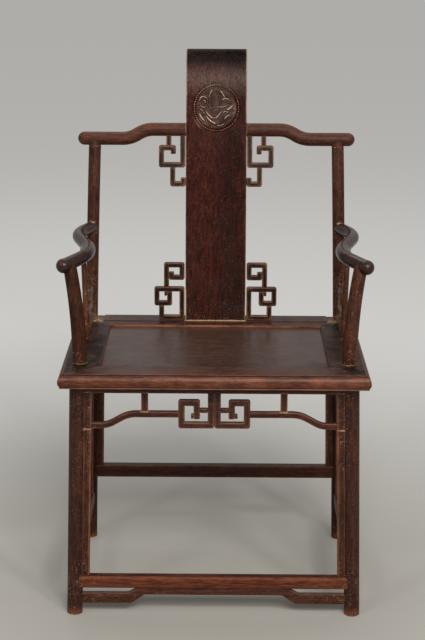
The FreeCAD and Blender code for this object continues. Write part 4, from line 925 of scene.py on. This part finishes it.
def roundel_relief(x, y):
    """Relief of the roundel: a rim of two rows of beads, round a plant on a sunk rough ground.

    A row of beads is sqrt(1 - (distance / half)^2) times 1 - (place in the bead / fill)^4, and
    a stroke of the plant is sqrt(1 - distance^2), lower where it is slim. The leaf in the
    middle is a low oval mound. Also gives how far each point lies in the hollow that is cut
    beside a stroke."""
    radius = np.hypot(x, y)
    angle = np.arctan2(y, x)

    def band(middle, half, beads, fill):
        swing = ((angle * beads / (2 * np.pi)) % 1.0) - 0.5
        bead = np.clip(1.0 - (swing / fill) ** 4, 0.0, None)
        return np.sqrt(np.clip(1.0 - ((radius - middle) / half) ** 2, 0.0, None)) * bead

    def groove(middle, half):
        return np.clip(1.0 - ((radius - middle) / half) ** 2, 0.0, None)

    rims = np.maximum(band(0.966, 0.034, 62, 0.36), 0.85 * band(0.868, 0.028, 54, 0.34))
    over = 0.5 * groove(1.1, 0.025) * (np.abs(x) < 0.24) * (y > 0)
    gaps = -0.7 * groove(0.916, 0.03) - 0.6 * groove(1.024, 0.026)
    plant = np.zeros_like(radius)
    hollow = np.zeros_like(radius)
    for stroke in PLANT_SHARES:
        away = stroke_distance(x, y, stroke)
        plant = np.maximum(plant, min(1.0, stroke[-1] / 0.036)
                           * np.sqrt(np.clip(1.0 - away ** 2, 0.0, None)))
        past = (away - 1.0) * stroke[-1]
        hollow = np.maximum(hollow, np.clip(1.0 - np.abs(past - 0.02) / 0.03, 0.0, 1.0))
    leaf = np.sqrt(np.clip(1.0 - (x / 0.1) ** 2 - ((y - 0.32) / 0.24) ** 2, 0.0, None))
    plant = np.maximum(plant, 0.3 * leaf)
    hollow *= (plant == 0) & (radius < GROUND_SHARE)
    chips = 0.14 * np.sin(31 * x + 4 * np.sin(9 * y)) * np.sin(37 * y + 3 * np.sin(11 * x))
    sunk = np.clip((GROUND_SHARE - radius) / 0.03, 0.0, 1.0)
    inside = (1.5 * np.where(radius < GROUND_SHARE, plant, 0.0)
              + sunk * (chips * (plant == 0) - 0.45))
    return np.where(rims > 0.0, rims, over + gaps + inside - 0.3 * hollow), hollow


def roundel_wear(x, y, raised, hollow):
    """Wear on the roundel: painted highlights rubbed pale in dots on the raised carving, two
    reddish patches, dirt and painted shade in hollows.
    """
    dots = 0.5 + 0.5 * np.sin(95 * x + 2) * np.sin(103 * y)
    # Painted highlights: the raised carving is rubbed pale in dots
    crest_highlights = 1.6 * np.clip(raised, 0.0, 1.0) ** 6 * dots
    patches = (0.34 * np.exp(-((x - 0.8) / 0.2) ** 2 - ((y + 0.05) / 0.5) ** 2)
               + 0.3 * np.exp(-((x + 0.7) / 0.2) ** 2 - ((y + 0.45) / 0.3) ** 2))
    # Dirt and painted shade darken the hollows beside the strokes and the lowest ground
    grime_and_shade = np.maximum(0.9 * hollow, 2.5 * np.clip(-raised - 0.5, 0.0, 0.4) * (hollow == 0))
    return np.where(raised > 0.1, crest_highlights, patches - grime_and_shade)


def splat_outline():
    """The splat's side outline in depth and height, its normals and its count of front points.

    It goes up the front on the back's curve, over the roll and down the back. Its front points
    lie closest where the roundel is."""
    half = SPLAT_THICK / 2
    centre = np.array([POST_Y + BACK_RADIUS, SEAT_TOP])
    roll_z = CHAIR_TOP - ROLL_RADIUS
    reach = BACK_RADIUS + half - ROLL_RADIUS
    roll = np.array([centre[0] - math.sqrt(reach ** 2 - (roll_z - SEAT_TOP) ** 2), roll_z])
    away = unit(roll - centre)
    touch = centre + away * (BACK_RADIUS + half)
    low = ROUNDEL_HEIGHT - FINE_SHARE * ROUNDEL_RADIUS
    high = ROUNDEL_HEIGHT + FINE_SHARE * ROUNDEL_RADIUS
    front_z = np.concatenate([rungs(SILL_TOP, low, 90, (SILL_TOP,))[:-1],
                              np.linspace(low, high, 210, endpoint=False),
                              np.linspace(high, touch[1], 14, endpoint=False)])
    front = np.column_stack([centre[0] - np.sqrt((BACK_RADIUS + half) ** 2
                             - (front_z - SEAT_TOP) ** 2), front_z])
    inner = BACK_RADIUS - half
    opening = math.acos((reach ** 2 + ROLL_RADIUS ** 2 - inner ** 2) / (2 * reach * ROLL_RADIUS))
    first = math.atan2(away[1], away[0])
    last = math.atan2(-away[1], -away[0]) - opening
    turn = np.linspace(first, last, 48)
    over = roll + ROLL_RADIUS * np.column_stack([np.cos(turn), np.sin(turn)])
    back_z = np.linspace(over[-1, 1], SILL_TOP, 60)[1:]
    back = np.column_stack([centre[0] - np.sqrt(inner ** 2 - (back_z - SEAT_TOP) ** 2), back_z])
    outline = np.concatenate([front, over, back])
    ahead = unit(np.roll(outline, -1, axis=0) - np.roll(outline, 1, axis=0))
    out = np.column_stack([-ahead[:, 1], ahead[:, 0]])
    out[0] = (-1.0, 0.0)
    out[-1] = (1.0, 0.0)
    return outline, out, len(front)


def splat():
    """The splat: its side outline carried across its width, with the roundel raised on it.

    Towards each side the outline shrinks along its normals, which eases the arris. The wood is
    darker in an upright band beside the middle, a painted shade, and rubbed along the arrises, more
    so high up, where the rubbing paints highlights."""
    outline, out, front = splat_outline()
    inset = np.array([2.0, 1.1, 0.4, 0.0]) * MM
    edge = np.array([0.0, 0.45, 1.2, 2.4]) * MM
    middle = np.linspace(-SPLAT_HALF + 8 * MM, SPLAT_HALF - 8 * MM, 200)
    across = np.concatenate([-SPLAT_HALF + edge, middle, (SPLAT_HALF - edge)[::-1]])
    shrink = np.concatenate([inset, np.zeros(len(middle)), inset[::-1]])
    x, z = np.meshgrid(across, outline[:front, 1])
    share_x = x / ROUNDEL_RADIUS
    share_y = (z - ROUNDEL_HEIGHT) / ROUNDEL_RADIUS
    near = np.hypot(share_x, share_y) < CARVED_SHARE
    raised = np.zeros(x.shape)
    raised[near], hollow = roundel_relief(share_x[near], share_y[near])
    relief = np.zeros((len(outline), len(across)))
    relief[:front] = raised * ROUNDEL_RELIEF
    offset = relief - shrink[None, :]
    grid = np.empty((len(outline), len(across), 3))
    grid[..., 0] = across[None, :]
    grid[..., 1] = outline[:, None, 0] + out[:, None, 0] * offset
    grid[..., 2] = outline[:, None, 1] + out[:, None, 1] * offset
    # Painted shade: an upright band right of the middle is darkened through wear below none
    band = np.clip((across + 12 * MM) / (36 * MM), 0, 1) * (across < 58 * MM)
    wear = np.zeros(grid.shape[:2]) - 0.36 * band
    # The side arrises are rubbed, and more so above 950 mm, as painted highlights along the upper
    # edges
    highlight_from = 950 * MM
    wear[:, [1, 2, -2, -3]] = 0.16 + 0.34 * (grid[:, :1, 2] > highlight_from)
    wear[:, [0, -1]] = 0.1
    wear[:front][near] *= 0.5
    wear[:front][near] += roundel_wear(share_x[near], share_y[near], raised[near], hollow)
    # A grey film lies on the roundel's ground and on the lower part of the splat
    hazy = np.zeros(grid.shape[:2])
    hazy[:front] = np.maximum(0.34 * (np.hypot(share_x, share_y) < 0.84),
                              0.08 * np.clip((0.82 - z) / 0.2, 0.0, 1.0))
    rows, columns = wear.shape
    faces = grid_faces(rows, columns, wrap=False)
    loop = np.arange(rows) * columns
    faces.append(loop.tolist())
    faces.append((loop + columns - 1)[::-1].tolist())
    foot = np.concatenate([np.arange(columns), (rows - 1) * columns + np.arange(columns)[::-1]])
    faces.append(foot[::-1].tolist())
    add_piece("back_splat", (grid.reshape(-1, 3), faces, np.clip(wear, -1, 1.3).ravel()),
              splat_finish, smooth=50.0, hazy=hazy.ravel())


# Scrolls

# Middle lines of the scrolls' bars: shares of the way from the first outer middle line to the
# last, out from what carries the scroll and up. The pair of numbers after each line tells how
# many half bars its two ends stop short of the last point.
SPLAT_SCROLL_SHARES = (
    (((0.82, 0.274), (0.82, 0.0), (0.035, 0.0), (0.035, 0.543), (1.0, 0.543), (1.0, 0.274),
      (0.51, 0.274), (0.51, 0.543)), (1, 1)),
    (((0.63, 0.543), (0.63, 1.0), (0.035, 1.0), (0.035, 0.765), (0.44, 0.765), (0.44, 0.87)),
     (1, 0)),
    (((0.51, 0.463), (0.71, 0.463)), (1, 0)),
)
CREST_SCROLL_SHARES = (
    (((0.025, 1.1), (0.025, 0.426), (1.0, 0.426), (1.0, 0.805), (0.457, 0.805), (0.457, 0.67)),
     (0, 0)),
    (((0.665, 1.1), (0.665, 0.805)), (0, 1)),
    (((0.482, 0.426), (0.482, 0.0), (0.0, 0.0), (0.0, 0.14)), (1, 0)),
)
FRONT_SCROLL_SHARES = (
    (((0.0, 1.1), (0.0, 0.0), (1.0, 0.0), (1.0, 0.756), (0.48, 0.756), (0.48, 0.215)), (0, 0)),
)
FRONT_NUB_SHARES = (
    (((0.48, 0.3), (0.68, 0.3)), (1, 0)),
    (((0.0, 0.496), (0.48, 0.496)), (1, 1)),
)


def scroll(table, width, height, bar, depth, place, thin=1.0):
    """Bars along the lines of a table of shares, put in place by a function of out and up.

    thin is how thick the bars are beside the full bars that they meet."""
    overlap = 0.15 * MM
    parts = []
    for shares, (first_short, last_short) in table:
        flat = bar / 2 + np.array(shares) * (width - bar, height - bar)
        short = bar / 2 - overlap
        flat[0] += unit(flat[1] - flat[0]) * short * first_short
        flat[-1] += unit(flat[-2] - flat[-1]) * short * last_short
        path = np.column_stack([flat[:, 0], np.zeros(len(flat)), flat[:, 1]])
        points, faces, wear = carried_bar(path, (0, 1, 0), bar * thin, depth, ease=2.1 * MM,
                                          round_by=5.0 * MM)
        parts.append((place(points), faces, wear))
    return joined(parts)


def scrolls():
    """The square scrolls beside the splat, along the seat's sides and in front."""
    side_length = POST_Y - MIDDLE_POST_Y - MIDDLE_POST_RADIUS
    for side_name, side in SIDES:
        def in_back(points, bottom, side=side):
            z = bottom + points[:, 2]
            return np.column_stack([side * (SPLAT_HALF + 0.1 * MM + points[:, 0]),
                                    back_y(z) + points[:, 1], z])

        def beside_splat(points):
            return in_back(points, SILL_TOP)

        def under_crest(points):
            return in_back(points, CREST_HIGH - CREST_RADIUS - CREST_SCROLL_HEIGHT)

        def along_side(points, side=side):
            return np.column_stack([side * leg_x(SEAT_TOP) + points[:, 1], POST_Y - points[:, 2],
                                    SEAT_TOP + points[:, 0]])

        def in_front(points, side=side):
            return np.column_stack([side * (points[:, 0] + 0.05 * MM),
                                    leg_y(HUMP_MIDDLE, "front") + points[:, 1],
                                    STRIP_UNDER - FRONT_SCROLL_HEIGHT + points[:, 2]])

        for name, table, width, height, place in (
            ("splat_bracket", SPLAT_SCROLL_SHARES, 68.3 * MM, 128.6 * MM, beside_splat),
            ("crest_bracket", CREST_SCROLL_SHARES, 58.6 * MM, CREST_SCROLL_HEIGHT, under_crest),
            ("side_bracket", SPLAT_SCROLL_SHARES, 88 * MM, side_length, along_side),
        ):
            add_piece(f"{name}_{side_name}",
                      scroll(table, width, height, BRACKET_BAR, SCROLL_DEPTH, place),
                      scroll_wood)
        size = (FRONT_SCROLL_WIDTH, FRONT_SCROLL_HEIGHT, FRET_BAR)
        add_piece(f"front_fret_{side_name}",
                  joined([scroll(FRONT_SCROLL_SHARES, *size, SCROLL_DEPTH + 1 * MM, in_front),
                          scroll(FRONT_NUB_SHARES, *size, SCROLL_DEPTH, in_front, thin=0.74)]),
                  fret_wood)


# Seat

# Painted shade on the flat tops of the side rails and towards the corners of the front one
SIDE_SHADE = -0.62


def arc_points(first, middle, last, count):
    """Points on the circle through three points, from the first to the last."""
    a, b, c = (complex(*p) for p in (first, middle, last))
    w = (c - a) / (b - a)
    centre = a - (a - b) * (w - abs(w) ** 2) / (2j * w.imag)
    angles = np.unwrap([np.angle(p - centre) for p in (a, b, c)])
    turn = np.linspace(angles[0], angles[2], count)
    radius = abs(a - centre)
    return np.column_stack([centre.real + radius * np.cos(turn),
                            centre.imag + radius * np.sin(turn)])


def rail_section(width):
    """Section of a seat rail of some width, as depth in from its outer edge and height.

    A flat top, a fine bead, a ledge, a round nose on the arc through three points, a second
    fine bead, the bottom and the inner face, whose top arris is eased."""
    top = np.column_stack([np.linspace(width - 0.7, 12.0, 34), np.zeros(34)])
    nose = arc_points((6.4, -2.7), (0.0, -12.5), (3.4, -25.9), 22)
    # Wear of each part: the middle of the nose is worn pale as a painted highlight, the lower bead
    # is worn and also carries a painted highlight, and the ledge and the step above the lower bead
    # are darkened
    parts = [
        (top, 0.0),
        ([(9.4, 0.0), (8.6, -0.2), (8.0, -0.7)], 0.35),
        ([(7.9, -1.9), (7.7, -2.5), (7.2, -2.7)], -1.0),
        (nose[:4], 0.15),
        (nose[4:9], 0.6),
        (nose[9:], 0.3),
        ([(4.6, -26.2), (4.6, -26.7)], -0.9),
        ([(3.6, -27.1), (3.1, -28.2), (3.6, -29.2)], 0.7),
        ([(5.4, -29.6), (9.0, -29.6), (10.2, -27.0), (width, -27.0), (width, -6.0)], 0.0),
        ([(width, -4.4), (width, -0.7)], 1.1),
    ]
    points = np.concatenate([some for some, _ in parts])
    wear = np.concatenate([np.full(len(some), worn) for some, worn in parts])
    return np.column_stack([points[:, 0] * MM, SEAT_TOP + points[:, 1] * MM]), wear


def seat_rail(outer, way, inner_width, length_axis, mitre_low, mitre_high):
    """A rail whose section is carried along one axis between two mitre planes.

    mitre_low and mitre_high give, for a depth in from the outer edge, where the rail ends."""
    section, wear = rail_section(inner_width / MM)
    depth = section[:, 0]
    steps = np.linspace(0.0, 1.0, 250)[:, None]
    along = mitre_low(depth)[None, :] * (1 - steps) + mitre_high(depth)[None, :] * steps
    cross = np.broadcast_to(outer + way * depth, along.shape)
    height = np.broadcast_to(section[:, 1], along.shape)
    order = [along, cross, height] if length_axis == "x" else [cross, along, height]
    return closed_rings(np.stack(order, axis=-1), wear[None, :])


def seat():
    """The moulded frame, its sill at the back, the panel and the battens.

    The mitres run straight from the frame's corners to those of the opening."""
    side_width = SEAT_HALF - OPENING_HALF
    front_width = OPENING_FRONT - SEAT_FRONT
    rear_width = SEAT_BACK - OPENING_BACK
    for name, outer, way, width in (("front", SEAT_FRONT, 1.0, front_width),
                                    ("rear", SEAT_BACK, -1.0, rear_width)):
        rail = seat_rail(outer, way, width, "x",
                         lambda d, w=width: -(SEAT_HALF - d * side_width / w - MITRE_GAP),
                         lambda d, w=width: SEAT_HALF - d * side_width / w - MITRE_GAP)
        if name == "rear":
            x = leg_x(SEAT_TOP) - POST_RADIUS * 2
            y = OPENING_BACK + 54 * MM
            points, faces, wear = carried_bar([(-x, y, SEAT_TOP), (x, y, SEAT_TOP)], (0, 0, 1),
                                              48 * MM, SILL_THICK, 0.5 * MM)
            # Painted shade: the sill and the rear rail's unworn flats are darkened under the splat
            sill = (points, faces, 0.5 * wear - 0.35)
            rail = shaded_flats(joined([rail, sill]), -0.4)
        else:
            # Painted shade darkens the front rail's unworn flats towards its corners
            corner = np.clip((np.abs(rail[0][:, 0]) - 190 * MM) / (90 * MM), 0.0, 1.0)
            rail = shaded_flats(rail, SIDE_SHADE * corner)
        add_piece(f"seat_rail_{name}", rail, seat_x, smooth=30.0)
    for side_name, side in SIDES:
        rail = seat_rail(side * SEAT_HALF, -side, side_width, "y",
                         lambda d: SEAT_FRONT + d * front_width / side_width + MITRE_GAP,
                         lambda d: SEAT_BACK - d * rear_width / side_width - MITRE_GAP)
        add_piece(f"seat_rail_{side_name}", shaded_flats(rail, SIDE_SHADE), seat_y,
                  smooth=30.0)
    x = OPENING_HALF - MITRE_GAP
    y = (OPENING_FRONT + OPENING_BACK) / 2
    z = PANEL_TOP - PANEL_THICK / 2
    points, faces, wear = carried_bar([(-x, y, z), (x, y, z)], (0, 0, 1),
                                      OPENING_BACK - OPENING_FRONT - 2 * MITRE_GAP,
                                      PANEL_THICK, 1.2 * MM)
    # The panel is darkened towards its front edge, through wear below none
    near_front = np.clip(1.0 - (points[:, 1] - OPENING_FRONT) / (110 * MM), 0.0, 1.0)
    add_piece("seat_panel", (points, faces, 0.4 * wear - 0.7 * near_front ** 2), panel_wood,
              ending="_wood_board")
    height = PANEL_TOP - PANEL_THICK - FRAME_UNDER
    z = FRAME_UNDER + height / 2
    for side_name, side in SIDES:
        x = side * 115 * MM
        add_piece(f"seat_batten_{side_name}",
                  carried_bar([(x, OPENING_FRONT, z), (x, OPENING_BACK, z)], (0, 0, 1),
                              35 * MM, height), seat_y)


# Rails and linings


def stretchers():
    """The foot rail, stretchers and the strips under the seat, all running into the legs."""
    def across(name, row, z, size, ease=RAIL_EASE, finish=frame_x, rub=1.0, grime_and_shade=0.0):
        depth, height = size
        x = leg_x(z) - END_INSET
        y = leg_y(z, row)
        points, faces, wear = carried_bar([(-x, y, z), (x, y, z)], (0, 0, 1), depth, height, ease)
        darkened = ((points[:, 2] > z + height / 2 - 0.3 * MM)
                  | (points[:, 2] < z - height / 2 + 1.5 * MM))
        add_piece(name, (points, faces, wear * rub - grime_and_shade * darkened), finish)

    def along(name, side, z, size):
        x = side * leg_x(z)
        path = [(x, leg_y(z, "front") + END_INSET, z), (x, leg_y(z, "rear") - END_INSET, z)]
        add_piece(name, carried_bar(path, (0, 0, 1), *size, RAIL_EASE), frame_y)

    # Painted shade: the foot rail's top face and the strip along its lower edge are darkened
    across("foot_rail", "front", FOOT_RAIL_Z, FOOT_RAIL_SIZE, ease=4.5 * MM, finish=foot_wood,
           rub=0.3, grime_and_shade=0.45)
    across("stretcher_rear", "rear", REAR_STRETCHER_Z, REAR_STRETCHER_SIZE)
    for row in ("front", "rear"):
        across(f"under_strip_{row}", row, STRIP_Z, STRIP_SIZE)
    for side_name, side in SIDES:
        along(f"stretcher_{side_name}", side, SIDE_STRETCHER_Z, SIDE_STRETCHER_SIZE)
        along(f"under_strip_{side_name}", side, STRIP_Z, STRIP_SIZE)


def foot_apron():
    """The apron under the foot rail: a plate whose outline rises in the middle."""
    end = (leg_x(APRON_LOW) - 6 * MM) / MM
    low = APRON_LOW / MM
    half = [(end, low), (169.0, low), (166.0, 23.8), (143.0, 39.8), (140.0, 41.4)]
    over = [(152.0, 55.9), (155.0, 54.7), (171.0, 45.0), (176.0, 43.5), (end, 43.5)]
    outline = half + [(-x, z) for x, z in reversed(half)]
    outline += [(-x, z) for x, z in reversed(over)] + over
    y = leg_y(APRON_LOW, "front")
    add_piece("foot_rail_apron",
              plate(np.array(outline) * MM, y + APRON_HALF, y - APRON_HALF), apron_wood)


def upright_bar(side, row, axis, low, high, depth):
    """A bar against a leg's inner side, across the chair or along its depth, leaning with it."""
    z = np.array([low, high])
    x = side * leg_x(z)
    y = leg_y(z, row)
    overlap = 4.2 * MM
    away = LEG_RADIUS[row] + (LINING_REACH - overlap) / 2
    width = LINING_REACH + overlap
    if axis == "x":
        return carried_bar(np.column_stack([x - side * away, y, z]), (0, 1, 0), width, depth,
                           LINING_EASE)
    inward = 1 if row == "front" else -1
    return carried_bar(np.column_stack([x, y + inward * away, z]), (0, 1, 0), depth, width,
                       LINING_EASE)


def hump_line(start, stop, flat):
    """Middle line of a hump rail: out level from its block, up the slope and on level."""
    low = HUMP_LOW + HUMP_BAR / 2
    way = math.copysign(1.0, stop - start)
    first = start + way * (flat - 2 * MM)
    second = first + way * HUMP_RUN
    corners = [(start, 0.0, low), (first, 0.0, low), (second, 0.0, low + HUMP_RISE),
               (stop, 0.0, low + HUMP_RISE)]
    return bent_line(corners, 0.34, steps=8)


def hump_rails():
    """Hump rails with their upright ends, and the struts between them and the strips."""
    y = leg_y(HUMP_MIDDLE, "front")
    rear_y = leg_y(HUMP_MIDDLE, "rear")

    def swept(start, stop, flat, place):
        points, faces, wear = carried_bar(hump_line(start, stop, flat), (0, 1, 0), HUMP_BAR,
                                          13 * MM, 1.7 * MM)
        return place(points), faces, wear

    def strut(name, x, y):
        path = [(x, y, STRUT_FOOT - 0.4 * MM), (x, y, STRIP_UNDER + 1 * MM)]
        add_piece(name, carried_bar(path, (0, 1, 0), 14 * MM, 11 * MM, RAIL_EASE), frame_z)

    def rail_start(row):
        return leg_x(HUMP_LOW) - LEG_RADIUS[row] - LINING_REACH / 2

    for side_name, side in SIDES:
        shape = swept(rail_start("front"), FRONT_SCROLL_WIDTH - 1 * MM, HUMP_FLAT,
                      lambda p: np.column_stack([side * p[:, 0], p[:, 1] + y, p[:, 2]]))
        block = upright_bar(side, "front", "x", HUMP_LOW, STRIP_UNDER, BLOCK_DEPTH)
        add_piece(f"hump_rail_front_{side_name}", joined([shape, block]), frame_x)
        strut(f"hump_strut_front_{side_name}", side * STRUT_X, y)
        strut(f"hump_strut_rear_{side_name}", side * STRUT_X, rear_y)
    parts = []
    for _, side in SIDES:
        parts.append(swept(rail_start("rear"), 0.0, HUMP_FLAT, lambda p, s=side:
                           np.column_stack([s * p[:, 0], p[:, 1] + rear_y, p[:, 2]])))
        parts.append(upright_bar(side, "rear", "x", HUMP_LOW, STRIP_UNDER, BLOCK_DEPTH))
    add_piece("hump_rail_rear", joined(parts), frame_x)
    centre = (leg_y(HUMP_LOW, "front") + leg_y(HUMP_LOW, "rear")) / 2
    start = leg_y(HUMP_LOW, "rear") - LEG_RADIUS["rear"] - LINING_REACH / 2 - centre
    for side_name, side in SIDES:
        x = side * leg_x(HUMP_MIDDLE)
        parts = [swept(start, 0.0, HUMP_FLAT_SIDE, lambda p, s=s: np.column_stack(
            [x + p[:, 1], centre + s * p[:, 0], p[:, 2]])) for _, s in SIDES]
        parts += [upright_bar(side, row, "y", HUMP_LOW, STRIP_UNDER, BLOCK_DEPTH)
                  for row in ("front", "rear")]
        add_piece(f"hump_rail_{side_name}", joined(parts), frame_y)
        strut(f"hump_strut_{side_name}", x, centre)


def linings():
    """Slim linings against the legs, following their lean, from the stretchers to the humps."""
    on_foot_rail = FOOT_RAIL_Z + FOOT_RAIL_SIZE[1] / 2
    on_rear = REAR_STRETCHER_Z + REAR_STRETCHER_SIZE[1] / 2
    on_side = SIDE_STRETCHER_Z + SIDE_STRETCHER_SIZE[1] / 2
    for side_name, side in SIDES:
        for row, axis, foot, name in (
            ("front", "x", on_foot_rail, "leg_lining_front"),
            ("rear", "x", on_rear, "leg_lining_rear"),
            ("front", "y", on_side, "leg_lining_side_front"),
            ("rear", "y", on_side, "leg_lining_side_rear"),
        ):
            shape = upright_bar(side, row, axis, foot, HUMP_LOW - 0.1 * MM, 15 * MM)
            add_piece(f"{name}_{side_name}", shape, frame_z)


legs_and_posts()
arms()
crest_rail()
splat()
scrolls()
seat()
stretchers()
foot_apron()
hump_rails()
linings()

# Room and camera


def floor():
    """A wide level floor under the feet, of a matt paint that grows paler away from the chair."""
    material = bpy.data.materials.new("floor_paint")
    graph = empty_graph(material)
    place = graph.node("ShaderNodeTexCoord").outputs["Object"]
    away = graph.node("ShaderNodeVectorMath", {0: place, 1: (0.0, -0.3, 0.0)},
                      operation="DISTANCE").outputs["Value"]
    tone = graph.mix(graph.ramp(away, 0.0, 2.5), paint(166, 162, 153), paint(232, 231, 228))
    matt = graph.node("ShaderNodeBsdfDiffuse", {"Color": tone})
    light = graph.node("ShaderNodeLightPath").outputs
    seen = graph.sum(light["Is Camera Ray"], light["Is Glossy Ray"])
    seen = graph.sum(seen, light["Is Transmission Ray"], clamp=True)
    glow = graph.times(seen, graph.ramp(away, 1.0, 4.5, 0.0, 0.07))
    backdrop = graph.node("ShaderNodeEmission", {"Color": paint(234, 233, 230),
                                                 "Strength": glow})
    both = graph.node("ShaderNodeAddShader", {0: matt.outputs[0], 1: backdrop.outputs[0]})
    graph.node("ShaderNodeOutputMaterial", {"Surface": both.outputs[0]})
    mesh = bpy.data.meshes.new("floor")
    half = 30.0
    corners = [(-half, -half, 0), (half, -half, 0), (half, half, 0), (-half, half, 0)]
    mesh.from_pydata(corners, [], [(0, 1, 2, 3)])
    mesh.materials.append(material)
    in_scene("floor", mesh)


def soft_lamp(name, place, aim, size, watts):
    """A square lamp that faces a point."""
    lamp = bpy.data.lights.new(name, "AREA")
    lamp.size = size
    lamp.energy = watts
    piece = in_scene(name, lamp)
    piece.location = place
    piece.rotation_euler = (Vector(aim) - Vector(place)).to_track_quat("-Z", "Y").to_euler()


def air():
    """Pale even light from all round."""
    world = bpy.data.worlds.new("air")
    graph = empty_graph(world)
    lit = graph.node("ShaderNodeBackground", {"Color": (1.0, 0.99, 0.98, 1.0), "Strength": 0.45})
    graph.node("ShaderNodeOutputWorld", {"Surface": lit.outputs[0]})
    bpy.context.scene.world = world


def camera():
    """The photograph's view, from a pinhole camera fitted to it.

    Angles are in radians, and the focal length in pixels of a picture that is 640 high."""
    pitch = 0.2613
    yaw = 0.0044
    roll = 0.0050
    focal_length = 1615.3
    picture_height = 640.0
    place = (0.009, FOOT_Y["front"] - 3.055, 1.44)
    ahead = Vector((-math.sin(yaw) * math.cos(pitch), math.cos(yaw) * math.cos(pitch),
                    -math.sin(pitch)))
    right = Vector((math.cos(yaw), math.sin(yaw), 0.0))
    up = right.cross(ahead)
    turned_right = right * math.cos(roll) + up * math.sin(roll)
    turned_up = up * math.cos(roll) - right * math.sin(roll)
    data = bpy.data.cameras.new("camera")
    data.sensor_fit = "AUTO"
    data.sensor_width = 36.0
    data.lens = focal_length / picture_height * data.sensor_width
    matrix = Matrix((turned_right, turned_up, -ahead)).transposed().to_4x4()
    matrix.translation = Vector(place)
    piece = in_scene("camera", data)
    piece.matrix_world = matrix
    bpy.context.scene.camera = piece


floor()
soft_lamp("broad_lamp", (0.5, -3.1, 2.7), (0.0, 0.0, 0.6), size=1.5, watts=98.0)
soft_lamp("left_lamp", (-1.7, -2.2, 2.9), (0.0, 0.0, 0.6), size=0.4, watts=11.0)
soft_lamp("right_lamp", (1.5, -2.5, 2.6), (0.0, 0.0, 0.6), size=0.4, watts=24.0)
soft_lamp("back_lamp", (-0.5, 2.6, 3.2), (0.0, 0.0, 0.5), size=1.6, watts=14.0)
air()
camera()
bpy.context.scene.view_settings.view_transform = "Standard"
